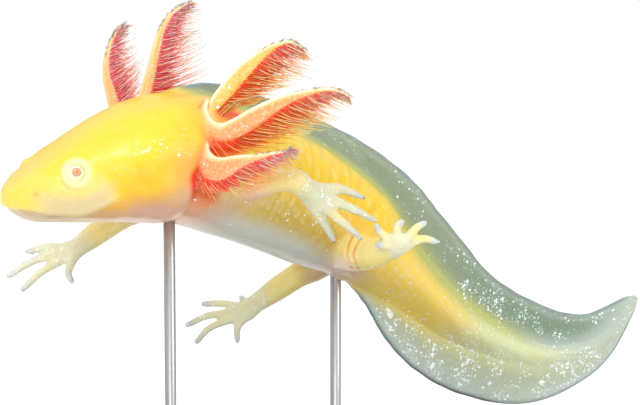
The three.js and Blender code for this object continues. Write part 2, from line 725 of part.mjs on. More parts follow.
for (const [name, from, to] of FLESH_NODES) {
  if (name === "head") addHead(from, to);
  else addNode(name, fleshLength(from + GAP / 2, Math.min(to - GAP / 2, TAIL_END)), SKIN);
}
for (const [side, nodes] of [[1, UPPER_FIN_NODES], [-1, LOWER_FIN_NODES]]) {
  for (const [name, from, to] of nodes) {
    addNode(name, finLength(side, from + GAP / 2, to - GAP / 2), FIN_SKIN);
  }
}
for (const leg of Object.values(LEGS)) addLeg(leg);
addGills();
addStand();

export default root;
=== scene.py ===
# Looks of a life-size golden albino axolotl, swimming above a plain display stand.
#
# One skin is lofted along the same spine as the CAD part, joined with the legs and gill stalks, and given
# its folds, lips, lids and grooves. Gill filaments, eyes and stand are pieces of their own. Shapes are worked
# out in millimetres in the part's frame and are scaled to metres when their meshes are made.
import math

import bpy
import numpy as np
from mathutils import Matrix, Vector, kdtree


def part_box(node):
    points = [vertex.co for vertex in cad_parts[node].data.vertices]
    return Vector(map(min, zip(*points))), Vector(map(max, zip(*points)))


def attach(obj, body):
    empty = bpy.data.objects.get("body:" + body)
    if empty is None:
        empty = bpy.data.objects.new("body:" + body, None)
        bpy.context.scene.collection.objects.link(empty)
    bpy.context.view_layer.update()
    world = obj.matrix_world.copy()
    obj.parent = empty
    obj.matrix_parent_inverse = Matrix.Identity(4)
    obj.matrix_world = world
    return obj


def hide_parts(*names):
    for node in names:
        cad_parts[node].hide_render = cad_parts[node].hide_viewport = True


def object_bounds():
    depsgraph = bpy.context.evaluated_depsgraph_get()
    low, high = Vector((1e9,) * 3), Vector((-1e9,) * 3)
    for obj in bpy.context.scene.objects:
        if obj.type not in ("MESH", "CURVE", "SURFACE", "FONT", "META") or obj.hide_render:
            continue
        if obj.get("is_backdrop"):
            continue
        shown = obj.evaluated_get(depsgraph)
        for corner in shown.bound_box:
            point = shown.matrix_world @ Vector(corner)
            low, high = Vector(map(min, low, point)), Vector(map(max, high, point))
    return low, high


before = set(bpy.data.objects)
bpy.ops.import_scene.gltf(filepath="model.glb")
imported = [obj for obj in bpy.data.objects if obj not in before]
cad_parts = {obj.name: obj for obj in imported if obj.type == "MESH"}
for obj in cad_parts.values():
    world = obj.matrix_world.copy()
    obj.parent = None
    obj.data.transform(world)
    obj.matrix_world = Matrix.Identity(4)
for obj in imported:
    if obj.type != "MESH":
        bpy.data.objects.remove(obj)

cad_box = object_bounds()

# ---- Sizes, in millimetres ----

MM = 0.001
SNOUT_ROUND = 7.0  # length over which the snout rounds off
TAIL_ROUND = 3.0

# The middle of the flesh, from the snout's tip to the tail's tip.
SPINE = np.array([
    (-60.8, -41.3, 79.6),
    (-40.4, -32.0, 84.1),
    (-23.8, -23.1, 86.6),
    (-13.7, -13.6, 82.9),
    (-3.8, -4.3, 77.2),
    (5.2, 3.1, 71.6),
    (15.8, 8.9, 64.8),
    (25.1, 13.8, 55.4),
    (37.2, 22.3, 43.2),
    (46.8, 29.3, 36.0),
    (58.6, 37.2, 29.8),
    (69.1, 42.3, 28.0),
    (79.5, 46.3, 31.0),
    (89.2, 50.4, 41.3),
])

# How far the back leans towards the animal's left, in degrees: distance from the snout, lean.
LEAN = np.array([(0, -5), (36, -5), (56, 0), (200, 0)], float)

# Distance from the snout, half width, height above the spine, depth below it.
FLESH = np.array([
    (0, 9.2, 3.1, 6.4),
    (6, 12.8, 4.7, 7.2),
    (11, 15.2, 6.7, 8.7),
    (17, 17.6, 9.2, 10.0),
    (23, 19.2, 11.5, 11.2),
    (29, 20.2, 13.0, 12.4),
    (35, 20.0, 14.2, 13.8),
    (40, 18.2, 14.4, 14.8),
    (46, 15.8, 13.8, 15.8),
    (56, 14.2, 13.8, 15.8),
    (70, 15.4, 14.1, 15.0),
    (84, 14.8, 13.6, 14.1),
    (96, 12.8, 11.9, 12.3),
    (106, 10.2, 9.8, 9.9),
    (118, 7.8, 7.9, 7.7),
    (131, 5.9, 6.6, 6.6),
    (145, 4.3, 5.3, 5.3),
    (161, 3.0, 3.8, 3.8),
    (175, 2.1, 2.6, 2.6),
    (190, 1.3, 1.6, 1.6),
    (198.5, 0.9, 1.0, 1.0),
])

# Distance from the snout, upper fin's height, lower fin's height.
FINS = np.array([
    (38, 0.0, 0),
    (41, 0.8, 0),
    (48, 3.9, 0),
    (70, 5.3, 0),
    (96, 7.2, 0),
    (104, 8.8, 0.2),
    (112, 10.2, 2.7),
    (120, 10.6, 6.8),
    (131, 10.0, 9.4),
    (145, 9.1, 10.5),
    (161, 9.2, 10.2),
    (175, 7.9, 6.5),
    (188, 5.2, 2.7),
    (198.5, 0.6, 0.6),
])
FIN_ROOT = 1.8  # thickness of a fin at its root and at its edge
FIN_EDGE = 0.55
FIN_FLARE = 3.0  # height over which a fin's foot spreads into the flesh
FIN_EASE = 6.0  # distance over which the corners of a fin's outline are rounded

# The mouth's line on the side of the head: distance from the snout, height above the spine.
MOUTH = np.array([(-4, -1.4), (2, -2.8), (7, -5.2), (13, -6.9), (17, -6.0), (22, -4.2), (26, -3.4)])
MOUTH_END = 21.5

EYE_ALONG = 13.0  # distance of the eyes from the snout
EYE_ASIDE, EYE_UPWARD, EYE_FORWARD = 0.92, 0.33, 0.16  # the parts of the direction in which an eye looks
EYE_DEPTH = 3.0  # how far inside an eye's middle the lids and rings reach
EYE_SHRINK = 0.93  # size of the eyeball within its CAD node
EYE_STEP = 0.55  # how far the eyeball is set forward from the node's middle
FAR_BROW = (9.1, 60)  # distance from the snout and angle round the head of the raised right eyelid
NOSTRIL = (4.3, 0.1)  # distance from the snout, height above the spine

GROOVES = 13  # costal grooves on each flank
GROOVE_FIRST = 52.0
GROOVE_STEP = 3.5
GROOVE_DEPTH = 0.17

HEAD_SQUARENESS = 2.5
BODY_SQUARENESS = 2.0  # 2 is an ellipse, and more is closer to a box
TAIL_TAPER = 2.6  # how thinly the tail's flesh runs out into its fins
SIDE_POINTS = 106  # points from the back's middle to the belly's middle on one side
FIN_POINTS = 14  # how many of them are on each fin
FIN_ANGLE = 8.0  # degrees of the section that carry a fin
ROOT_ROUNDS = 26  # how often the corner between flesh and fin is smoothed

# Stretches over which one region's look passes into the next, as distances from the snout.
HEAD_TO_TRUNK = (34, 46)
TRUNK_TO_TAIL = (96, 112)


# ---- Colours, as seen in daylight ----

def srgb(red, green, blue):
    """Linear colour from the usual 0-255 values."""
    c = np.array([red, green, blue]) / 255.0
    return np.where(c <= 0.04045, c / 12.92, ((c + 0.055) / 1.055) ** 2.4)


LEMON = srgb(247, 209, 36)
SNOUT_YELLOW = srgb(246, 216, 92)
LIP_CREAM = srgb(212, 195, 150)
GOLD = srgb(244, 178, 10)
THIGH_CREASE_SHADE = srgb(222, 134, 24)
JAW_TAN = srgb(207, 168, 117)
JAW_GOLD = srgb(220, 169, 58)
JAW_PALE = srgb(190, 168, 128)
CHEEK_CREAM = srgb(238, 216, 130)
REAR_PEACH = srgb(234, 152, 92)
RUST = srgb(206, 84, 30)
TAIL_END = srgb(178, 190, 180)
THROAT_PINK = srgb(206, 164, 140)
NECK_GOLD = srgb(245, 188, 54)
POCKET_ORANGE = srgb(252, 116, 4)
GILL_RED = srgb(255, 48, 26)
FIN_PALE = srgb(178, 194, 186)
LIME = srgb(186, 192, 108)
BLOTCH_PINK = srgb(238, 210, 176)
BELLY_GREY_AND_SHADE = srgb(196, 200, 190)
FLANK_GOLD = srgb(236, 205, 42)
FLANK_PALE = srgb(196, 170, 74)
FLANK_STREAK = srgb(232, 206, 142)
TAIL_YELLOW = srgb(236, 206, 92)
TAIL_PALE = srgb(208, 216, 168)
FIN_OLIVE = srgb(170, 176, 104)
FIN_GREY = srgb(134, 150, 122)
FIN_SHADE = srgb(174, 182, 150)
FIN_LINE = srgb(112, 136, 152)
LIMB_STRAW = srgb(230, 216, 138)
LIMB_PALE = srgb(212, 214, 182)
DIGIT_GREY = srgb(188, 197, 200)
STALK_CREAM = srgb(250, 206, 128)
RIM_CREAM = srgb(255, 242, 212)
GILL_CRIMSON = srgb(240, 74, 98)
CLAW_DARK = srgb(60, 56, 60)
EYE_RING = srgb(250, 238, 190)
HOLLOW_SHADE_OCHRE = srgb(196, 150, 60)

# Tints that darken or cool the colour under them. GROOVE_SHADE is painted shade in the costal grooves, and
# COLLAR_SHADE is painted shade low in the pocket behind the head.
GROOVE_SHADE = srgb(250, 226, 190)
COLLAR_SHADE = srgb(236, 226, 232)
FIN_COOL = srgb(228, 240, 255)


# ---- Small tools ----

def smoothstep(value, low, high):
    t = np.clip((value - low) / (high - low), 0, 1)
    return t * t * (3 - 2 * t)


def bell(value, middle, width):
    return np.exp(-(((value - middle) / width) ** 2))


def mix(first, second, share):
    share = np.asarray(share)[..., None]
    return first * (1 - share) + second * share


def unit(vectors):
    return vectors / np.maximum(np.linalg.norm(vectors, axis=-1, keepdims=True), 1e-12)


def look_up(table, at, column):
    """One column of a table between its rows, along a curve that never overshoots."""
    x, y = table[:, 0], table[:, column]
    slope = np.diff(y) / np.diff(x)
    product = slope[:-1] * slope[1:]
    total = slope[:-1] + slope[1:]
    inner = np.where(product > 0, 2 * product / np.where(total == 0, 1, total), 0)
    tangent = np.concatenate([slope[:1], inner, slope[-1:]])
    at = np.clip(at, x[0], x[-1])
    i = np.clip(np.searchsorted(x, at, side="right") - 1, 0, len(x) - 2)
    span = x[i + 1] - x[i]
    t = (at - x[i]) / span
    rise = (2 * t**3 - 3 * t**2 + 1) * y[i] + (t**3 - 2 * t**2 + t) * span * tangent[i]
    return rise + (3 * t**2 - 2 * t**3) * y[i + 1] + (t**3 - t**2) * span * tangent[i + 1]


def eased(table, at, column, reach=4.0):
    """look_up averaged over a reach on both sides, which rounds the corners between rows."""
    at = np.asarray(at, float)
    room = np.clip(np.minimum(at - table[0, 0], table[-1, 0] - at), 0, reach)
    total, weights = 0.0, 0.0
    for step in np.linspace(-0.9, 0.9, 7):
        total = total + (1 - step**2) * look_up(table, at + step * room, column)
        weights += 1 - step**2
    return total / weights


def curve_through(points, per_span=60):
    """A smooth curve through points, as many close points."""
    p = np.vstack([2 * points[0] - points[1], points, 2 * points[-1] - points[-2]])
    t = np.linspace(0, 1, per_span, endpoint=False)[:, None]
    spans = []
    for i in range(1, len(p) - 2):
        start, end = (p[i + 1] - p[i - 1]) / 2, (p[i + 2] - p[i]) / 2
        rise = (2 * t**3 - 3 * t**2 + 1) * p[i] + (t**3 - 2 * t**2 + t) * start
        spans.append(rise + (3 * t**2 - 2 * t**3) * p[i + 1] + (t**3 - t**2) * end)
    return np.vstack(spans + [points[-1:]])


class Path:
    """A curve measured by its own length."""

    def __init__(self, points, per_span=60):
        self.points = curve_through(np.asarray(points, float), per_span)
        steps = np.linalg.norm(np.diff(self.points, axis=0), axis=1)
        self.lengths = np.concatenate([[0], np.cumsum(steps)])
        self.length = self.lengths[-1]

    def place(self, at):
        return np.stack([np.interp(at, self.lengths, self.points[:, k]) for k in range(3)], -1)

    def direction(self, at, reach=0.6):
        ahead = np.minimum(np.asarray(at, float) + reach, self.length)
        behind = np.maximum(np.asarray(at, float) - reach, 0)
        return unit(self.place(ahead) - self.place(behind))


def link(name, mesh):
    piece = bpy.data.objects.new(name, mesh)
    bpy.context.scene.collection.objects.link(piece)
    return piece


def mesh_of(name, points, faces, smooth=True, scale=1.0):
    mesh = bpy.data.meshes.new(name)
    mesh.from_pydata((np.asarray(points) * scale).tolist(), [], faces)
    mesh.update()
    mesh.shade_smooth() if smooth else mesh.shade_flat()
    return mesh


def loft_faces(rings, sides):
    """Quads between rings of points, with a fan to a hub point at each end."""
    a = np.arange(rings - 1)[:, None] * sides + np.arange(sides)[None, :]
    b = np.arange(rings - 1)[:, None] * sides + (np.arange(sides)[None, :] + 1) % sides
    quads = np.stack([a, b, b + sides, a + sides], -1).reshape(-1, 4).tolist()
    first, last = rings * sides, rings * sides + 1
    final = (rings - 1) * sides
    fans = [[first, (k + 1) % sides, k] for k in range(sides)]
    fans += [[last, final + k, final + (k + 1) % sides] for k in range(sides)]
    return quads + fans


def loft(grid):
    """Points and faces of a closed form over a grid of rings."""
    rings, sides = grid.shape[:2]
    hubs = np.stack([grid[0].mean(0), grid[-1].mean(0)])
    return np.vstack([grid.reshape(-1, 3), hubs]), loft_faces(rings, sides)


def volume_of(points, faces):
    total = 0.0
    p = np.asarray(points)
    for size in (3, 4):
        group = np.array([f for f in faces if len(f) == size])
        if len(group):
            for k in range(1, size - 1):
                corner = np.cross(p[group[:, k]], p[group[:, k + 1]])
                total += np.einsum("ij,ij->", p[group[:, 0]], corner)
    return total


def facing_out(points, faces):
    return faces if volume_of(points, faces) > 0 else [f[::-1] for f in faces]


def evaluated(piece):
    """The mesh of a piece with its modifiers applied."""
    graph = bpy.context.evaluated_depsgraph_get()
    graph.update()
    return bpy.data.meshes.new_from_object(piece.evaluated_get(graph))


def points_of(mesh):
    flat = np.empty(len(mesh.vertices) * 3, np.float32)
    mesh.vertices.foreach_get("co", flat)
    return flat.reshape(-1, 3).astype(float)


def edges_of(mesh):
    flat = np.empty(len(mesh.edges) * 2, np.int32)
    mesh.edges.foreach_get("vertices", flat)
    return flat.reshape(-1, 2)


def set_points(mesh, points):
    mesh.vertices.foreach_set("co", np.asarray(points, np.float32).ravel())
    mesh.update()


def relax(values, edges, share, rounds):
    """Moves each value towards its neighbours' mean, by a share of its own."""
    values = np.array(values, float)
    count = np.zeros(len(values))
    np.add.at(count, edges.ravel(), 1)
    count = np.maximum(count, 1)
    for _ in range(rounds):
        total = np.zeros_like(values)
        for column in range(values.shape[1]):
            total[:, column] = np.bincount(edges[:, 0], values[edges[:, 1], column], len(values))
            total[:, column] += np.bincount(edges[:, 1], values[edges[:, 0], column], len(values))
        values += share[:, None] * (total / count[:, None] - values)
    return values


def nearest(sources, queries):
    """Index of and distance to the nearest source of each query."""
    tree = kdtree.KDTree(len(sources))
    for i, p in enumerate(sources):
        tree.insert(p, i)
    tree.balance()
    found = [tree.find(q) for q in queries]
    return np.array([f[1] for f in found]), np.array([f[2] for f in found])


# ---- The spine and its frames ----

spine = Path(SPINE, 120)
LENGTH = spine.length


def frames(along):
    """Place, backward direction, left and up at distances from the snout."""
    along = np.asarray(along, float)
    back = spine.direction(along)
    upright = unit(np.array([0, 0, 1.0]) - back * back[..., 2:3])
    lean = np.radians(look_up(LEAN, along, 1))[..., None]
    up = upright * np.cos(lean) + np.cross(back, upright) * np.sin(lean)
    return spine.place(along), back, np.cross(back, up), up


def rounding(along):
    front = 1 - np.clip(along / SNOUT_ROUND, 0, 1)
    rear = 1 - np.clip((LENGTH - along) / TAIL_ROUND, 0, 1)
    return np.sqrt(np.clip(1 - front**2, 0, 1)) * np.sqrt(np.clip(1 - rear**2, 0, 1))


# ---- The body's surface, as a grid of rings ----

def body_stations():
    snout = SNOUT_ROUND * (1 - np.cos(np.radians(np.arange(2.5, 90, 4.0))))
    return np.concatenate([
        snout,
        np.arange(SNOUT_ROUND, 20, 0.32),
        np.arange(20, 42, 0.5),
        np.arange(42, 106, 0.9),
        np.arange(106, LENGTH - 2, 1.2),
        LENGTH - np.array([1.6, 1.0, 0.5, 0.2, 0.03]),
    ])


def ring_angles(along, below, power):
    """Angles from the back's middle (90) to the belly's (-90), closer together at the eyes and lips."""
    steps = np.linspace(90 - FIN_ANGLE, -90 + FIN_ANGLE, 721)
    mouth = look_up(MOUTH, along, 1)
    mouth_angle = -np.degrees(np.arcsin(np.clip(-mouth / below, 0.02, 0.999) ** (1 / power)))
    on_head = 1 - smoothstep(along, 20, 26)
    eye_share = bell(along, EYE_ALONG, 5)
    flank = SIDE_POINTS - 2 * FIN_POINTS
    upper = np.linspace(90, 90 - FIN_ANGLE, FIN_POINTS + 1)[:-1]
    rows = []
    for i in range(len(along)):
        at_mouth = 3.0 * on_head[i] * bell(steps, mouth_angle[i], 7)
        density = 1 + at_mouth + eye_share[i] * bell(steps, 28, 22)
        total = np.concatenate([[0], np.cumsum((density[1:] + density[:-1]) / 2)])
        middle = np.interp(np.linspace(0, total[-1], flank + 1), total, steps)
        rows.append(np.concatenate([upper, middle, -upper[::-1]]))
    return np.array(rows)


def fin_height(along, upper):
    """Height of the upper or the lower fin at distances from the snout."""
    return np.where(upper, eased(FINS, along, 1, FIN_EASE), eased(FINS, along, 2, FIN_EASE))


def fin_profile(share, height, foot):
    """Half thickness of a fin from its root (share 0) to its edge, which is round."""
    root = np.minimum(FIN_ROOT / 2, foot)
    taper = root + (FIN_EDGE / 2 - root) * share**1.2
    flare = (foot - root) * np.exp(-share * height / FIN_FLARE)
    edge = np.sqrt(np.clip(1 - np.clip((share - 0.93) / 0.07, 0, 1) ** 2, 0, 1))
    return (taper + flare) * edge


def rounded_roots(wide, tall):
    """Sections with the corners between flesh and fin smoothed."""
    near = np.zeros(wide.shape[1])
    for root in (FIN_POINTS, SIDE_POINTS - FIN_POINTS):
        near = np.maximum(near, np.clip(2.0 - np.abs(np.arange(len(near)) - root) / 5, 0, 1))
    near[[0, -1]] = 0
    for _ in range(ROOT_ROUNDS):
        for values in (wide, tall):
            values[:, 1:-1] += 0.5 * near[1:-1] * ((values[:, 2:] + values[:, :-2]) / 2 - values[:, 1:-1])
    return wide, tall


def flesh_sections(along):
    """Angles, half widths and heights of the flesh, and how far each section thins out into the fins."""
    share = rounding(along)
    half, above, below = [eased(FLESH, along, k) * share for k in (1, 2, 3)]
    thin = smoothstep(along, 98, 125)
    squareness = HEAD_SQUARENESS + (BODY_SQUARENESS - HEAD_SQUARENESS) * smoothstep(along, 30, 60)
    power = 2 / squareness
    angle = ring_angles(along, below, power)
    c, s = np.clip(np.cos(np.radians(angle)), 0, 1), np.sin(np.radians(angle))
    taper = power + (TAIL_TAPER - 1) * thin
    wide = half[:, None] * c ** taper[:, None]
    tall = np.where(s > 0, above[:, None], below[:, None]) * np.sign(s) * np.abs(s) ** power[:, None]
    return angle, wide, tall, thin[:, None]


def with_fin(along, wide, tall, thin, side):
    """The sections with the upper (side 1) or lower (side -1) fin, and each point's share and rise on it."""
    height = eased(FINS, along, 1 if side > 0 else 2, FIN_EASE)[:, None]
    stands = smoothstep(height, 0.05, 1.2)
    steps = np.arange(FIN_POINTS + 1)
    index = steps if side > 0 else SIDE_POINTS - steps
    part = 1 - steps[None, :] / FIN_POINTS
    surface = np.abs(tall[:, index[-1]])[:, None]
    near = smoothstep(side * tall / surface, 0.60, 0.97)
    near = np.maximum(near, thin * (side * tall > 0)) * stands * FIN_ROOT / 2
    wide = (wide**3 + near**3) ** (1 / 3)
    finned = fin_profile(part, height, wide[:, index[-1]][:, None])
    lifted = side * (surface + part * height)
    wide[:, index] = wide[:, index] * (1 - stands) + finned * stands
    tall[:, index] = tall[:, index] * (1 - stands) + lifted * stands
    share, rise = np.zeros_like(wide), np.zeros_like(wide)
    share[:, index] = part * stands
    rise[:, index] = side * part * height * stands
    return wide, tall, share, rise


def body_grid():
    """Points of the body with the facts that its folds and colours depend on."""
    along = body_stations()
    place, _, left, up = frames(along)
    angle, wide, tall, thin = flesh_sections(along)
    wide, tall, upper_share, upper_rise = with_fin(along, wide, tall, thin, 1)
    wide, tall, lower_share, lower_rise = with_fin(along, wide, tall, thin, -1)
    fin_tall = upper_rise + lower_rise
    wide, tall = rounded_roots(wide, tall)
    wave = 0.45 * np.sin(along / 6.5)[:, None] * np.abs(fin_tall) / 10
    both = lambda values: np.concatenate([values, values[:, -2:0:-1]], 1)
    side = np.concatenate([np.ones_like(wide), -np.ones_like(wide)[:, -2:0:-1]], 1)
    lateral = both(wide) * side + both(wave)
    return {
        "points": place[:, None] + left[:, None] * lateral[..., None] + up[:, None] * both(tall)[..., None],
        "along": np.repeat(along[:, None], 2 * SIDE_POINTS, 1),
        "angle": both(angle),
        "tall": both(tall),
        "wide": both(wide) * side,
        "fin": both(upper_share + lower_share),
        "fin_tall": both(fin_tall),
        "side": side,
    }


def grid_normals(points):
    around = np.roll(points, -1, 1) - np.roll(points, 1, 1)
    lengthwise = np.gradient(points, axis=0)
    normal = unit(np.cross(around, lengthwise))
    centre = points.mean(1, keepdims=True)
    flip = np.sign(np.einsum("ijk,ijk->i", normal, points - centre))
    return normal * flip[:, None, None]


# ---- Folds and features of the body ----
#
# Here and in the colours below, along is the distance from the snout, and angle runs from 90 at the back's
# middle over 0 on the side to -90 at the belly's middle. gap is the height over the mouth's line.
# bell(along, place, width) is a soft spot or band there, and smoothstep(along, start, end) is a soft edge.
# Reliefs are heights in millimetres.

def eye_facts(side):
    """Centre, radius and outward direction of an eye, from its CAD node."""
    low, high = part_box("eye_left" if side > 0 else "eye_right")
    centre = np.array((low + high) / 2) / MM
    radius = (high.z - low.z) / 2 / MM
    _, back, left, up = frames(np.array([EYE_ALONG]))
    outward = unit(left[0] * side * EYE_ASIDE + up[0] * EYE_UPWARD - back[0] * EYE_FORWARD)
    return centre, radius, outward


EYES = {side: eye_facts(side) for side in (1, -1)}


def mouth_relief(grid):
    """The groove between the lips, the upper lip over it and the jaw set back below it."""
    gap = grid["tall"] - look_up(MOUTH, grid["along"], 1)
    fade = 1 - smoothstep(grid["along"], MOUTH_END - 3.5, MOUTH_END)
    depth = 0.24 + 0.30 * smoothstep(grid["along"], 5, 14)
    groove = -depth * bell(gap, 0, 0.24)
    lip = 0.42 * bell(gap, 1.0, 0.9)
    jaw = -0.36 * smoothstep(gap, -5.0, -0.5) * (1 - smoothstep(gap, -0.2, 0.1))
    corner = -0.30 * bell(grid["along"], MOUTH_END, 1.6) * bell(gap, -0.3, 0.7)
    return (groove + lip + jaw) * fade + corner


def round_eye(grid, side):
    """Of the body's points: distance from an eye's axis, turn round it from the rear, and 1 near the eye."""
    centre, _, outward = EYES[side]
    apart = grid["points"] - centre
    depth = apart @ outward
    flat = apart - depth[..., None] * outward
    _, back, _, up = frames(np.array([EYE_ALONG]))
    turn = np.arctan2(flat @ up[0], flat @ back[0])
    return np.linalg.norm(flat, axis=-1), turn, (depth > -EYE_DEPTH).astype(float)


def low_front(turn):
    """1 below and in front of an eye, 0 above and behind it."""
    return 0.5 - 0.5 * np.cos(turn - math.radians(45))


def eye_relief(grid):
    """A low mound, an uneven lid round the hole for the eyeball, and the crease below and in front of it."""
    total = np.zeros_like(grid["along"])
    for side in EYES:
        reach, turn, near = round_eye(grid, side)
        front = low_front(turn)
        mound = 0.62 * bell(reach, 0, 4.6)
        lid = (0.11 + 0.08 * np.cos(turn - 0.4)) * bell(reach, 2.35 + 0.15 * np.cos(2 * turn), 0.65)
        crease = -0.24 * front**2 * bell(reach, 3.5, 0.5) + 0.12 * front * bell(reach, 4.3, 0.7)
        hole = -2.0 * (1 - smoothstep(reach, 1.45, 1.85))
        total += (mound + lid + crease + hole) * near
    far = grid["side"] < 0
    brow = bell(grid["along"], FAR_BROW[0], 1.1) * bell(grid["angle"], FAR_BROW[1], 9) * far
    return total + 0.55 * brow


def from_nostril(grid):
    """Distance from the middle of the nearer nostril."""
    return np.hypot(grid["along"] - NOSTRIL[0], grid["tall"] - NOSTRIL[1])


def nostril_relief(grid):
    apart = from_nostril(grid)
    return -0.50 * bell(apart, 0, 0.42) + 0.14 * bell(apart, 0.95, 0.4)


def head_edge(angle):
    """Distance from the snout of the head's rear edge, at an angle round the head."""
    return 36.2 + 4.0 * smoothstep(angle, -12, 14) - 1.6 * smoothstep(angle, -30, -60)


def fold_relief(grid):
    """The low rear edge of the head, with the pocket behind it, and the shoulder that carries the gills."""
    along, angle = grid["along"], grid["angle"]
    edge = head_edge(angle)
    strength = smoothstep(angle, 27, 8)
    bulge = 0.65 * bell(along, edge - 2.6, 2.6)
    pocket = -1.3 * bell(along, edge + 1.2, 1.2) - 0.6 * bell(along, edge + 3.2, 2.2)
    shoulder = 1.3 * bell(along, 43.5, 5) * bell(angle, 46, 24)
    return (bulge + pocket) * strength * (1 - 0.6 * smoothstep(angle, -40, -70)) + shoulder


def on_flesh(grid):
    """1 on the flesh, fading to 0 before a fin's root."""
    return smoothstep(np.abs(grid["angle"]), 80, 62) * (1 - smoothstep(grid["fin"], 0.0, 0.1))


def groove_relief(grid):
    """Uneven costal grooves between the muscle segments, fading low on the flank and faint on the tail."""
    along, angle = grid["along"], grid["angle"]
    ragged = 0.35 * np.sin(angle * 0.11 + along * 0.4)
    bent = along + 1.1 * np.cos(np.radians(angle * 2)) - 0.035 * angle + ragged
    on_flank = smoothstep(angle, -50, -20) * smoothstep(angle, 76, 50)
    total = np.zeros_like(along)
    for i in range(GROOVES):
        depth = GROOVE_DEPTH * (1 + 0.45 * math.sin(2.4 * i) * np.cos(angle * 0.06 + 1.3 * i))
        total -= depth * bell(bent, GROOVE_FIRST + GROOVE_STEP * i + 0.4 * math.sin(5.1 * i), 0.75)
    on_tail = smoothstep(along, 98, 106) * (1 - smoothstep(along, 140, 165)) * on_flesh(grid)
    phase = 2 * math.pi * (bent + 0.05 * np.abs(angle)) / GROOVE_STEP
    total -= 0.04 * on_tail * (0.5 + 0.5 * np.cos(phase)) ** 4
    return total * on_flank


def soft_relief(grid):
    """Cheeks, the hollow between the jaw muscles, the vent, folds at the thigh and slow unevenness."""
    along, angle = grid["along"], grid["angle"]
    cheek = 0.7 * bell(along, 27, 6) * bell(angle, 6, 24)
    temple = -0.40 * bell(along, 22, 5) * bell(angle, 52, 14)
    brow = 0.35 * bell(along, 12, 5) * bell(angle, 62, 16)
    snout_ridge = -0.25 * bell(along, 6.5, 4) * bell(angle, 38, 16)
    throat = 0.5 * bell(along, 30, 6) * smoothstep(angle, -50, -80)
    vent = 0.9 * bell(along, 102, 2.6) * smoothstep(angle, -68, -84)
    slit = -0.8 * bell(along, 102, 1.9) * bell(grid["wide"], 0, 0.35) * (angle < -60)
    uneven = 0.10 * np.sin(along * 0.9 + angle * 0.05) * np.sin(along * 0.37 - angle * 0.09)
    total = cheek + temple + brow + snout_ridge + throat + vent + slit
    return total + uneven * on_flesh(grid)


def sculpt(grid):
    normal = grid_normals(grid["points"])
    relief = mouth_relief(grid) + nostril_relief(grid) + fold_relief(grid)
    relief += groove_relief(grid) + soft_relief(grid) + eye_relief(grid)
    ripple = 0.06 * np.sin(np.abs(grid["fin_tall"]) * 2.4 + grid["along"] * 0.7)
    ripple = ripple * smoothstep(grid["fin"], 0.1, 0.4)
    return grid["points"] + normal * (relief + ripple)[..., None]


# ---- Ground colours of the body ----

def head_colour(grid):
    along, angle, tall = grid["along"], grid["angle"], grid["tall"]
    gap = tall - look_up(MOUTH, along, 1)
    colour = mix(LEMON, SNOUT_YELLOW, smoothstep(along, 14, 3) * 0.85)
    colour = mix(colour, SNOUT_YELLOW, 0.75 * bell(along, 20, 7) * bell(angle, 22, 13))
    colour = mix(colour, NECK_GOLD, 0.6 * bell(angle, 62, 16) * smoothstep(along, 26, 34))
    streak = 0.5 + 0.5 * np.sin(along * 0.8 + angle * 0.12 + 1.2 * np.sin(angle * 0.05))
    colour = mix(colour, GOLD, (0.70 + 0.25 * streak) * bell(along, 24.5, 6.5) * bell(angle, -7, 13))
    colour = mix(colour, NECK_GOLD, 0.65 * smoothstep(along, 29, 37) * bell(angle, 22, 20))
    wisp = np.clip(np.sin(angle * 0.42 + 1.6 * np.sin(along * 0.55)) + 0.4 * np.sin(along * 1.7), 0, 1)
    colour = mix(colour, CHEEK_CREAM, 0.55 * wisp * bell(along, 25, 6) * bell(angle, 14, 12))
    colour = mix(colour, REAR_PEACH, 0.85 * smoothstep(along, 27.0, 36) * smoothstep(angle, 20, -8))
    cheek = smoothstep(gap, 9.6, 6.0) * smoothstep(along, 3.0, 10)
    cheek = cheek * (1 - smoothstep(along + 0.25 * gap, 18, 21))
    colour = mix(colour, CHEEK_CREAM, 0.8 * cheek)
    cream = smoothstep(gap, 6.2, 2.6) * smoothstep(along, 2.0, 7) * (1 - smoothstep(along, 16.5, 21))
    colour = mix(colour, LIP_CREAM, 0.9 * cream)
    # painted shade in the nostril's pit
    colour = mix(colour, HOLLOW_SHADE_OCHRE, 0.3 * bell(from_nostril(grid), 0, 0.45))
    under = 1 - smoothstep(gap, -0.8, 0.1)
    jaw = under * (1 - smoothstep(along, 20, 25))
    jaw_tone = mix(JAW_PALE, JAW_TAN, smoothstep(along, 10, 17))
    jaw_tone = mix(jaw_tone, JAW_GOLD, smoothstep(along, 12.5, 18) * smoothstep(angle, -44, -33))
    colour = mix(colour, jaw_tone, jaw)
    low = smoothstep(along, 19, 24) * smoothstep(angle, -10, -26)
    low_tone = mix(JAW_GOLD, THROAT_PINK, smoothstep(angle, -20, -44))
    colour = mix(colour, low_tone, low)
    rear = smoothstep(along, 28, 35) * smoothstep(angle, -8, -26)
    return mix(colour, THROAT_PINK, 0.75 * rear)


def flank_marks(along, angle):
    """Shares of the pale streaks and of the rows of flecks that slant down the flank."""
    slant = (along + 0.075 * angle + 0.7 * np.sin(angle * 0.16)) * 2 * math.pi
    broken = 0.5 + 0.5 * np.sin(angle * 0.33 + 1.9 * np.sin(along * 0.8))
    streak = np.clip(np.sin(slant / 2.9) + 0.5 * np.sin(slant / 7.7), 0, 1) * broken
    flank = smoothstep(angle, -30, -5) * smoothstep(angle, 66, 40) * (1 - smoothstep(along, *TRUNK_TO_TAIL))
    fleck_row = np.clip(np.sin(slant / 1.9) + 0.7 * np.sin(angle * 0.52 + along), 0, 1)
    dusky = bell(angle, -16, 16) * smoothstep(along, 48, 56) * (1 - smoothstep(along, 88, 100))
    return streak * flank * smoothstep(along, 50, 60), fleck_row * dusky


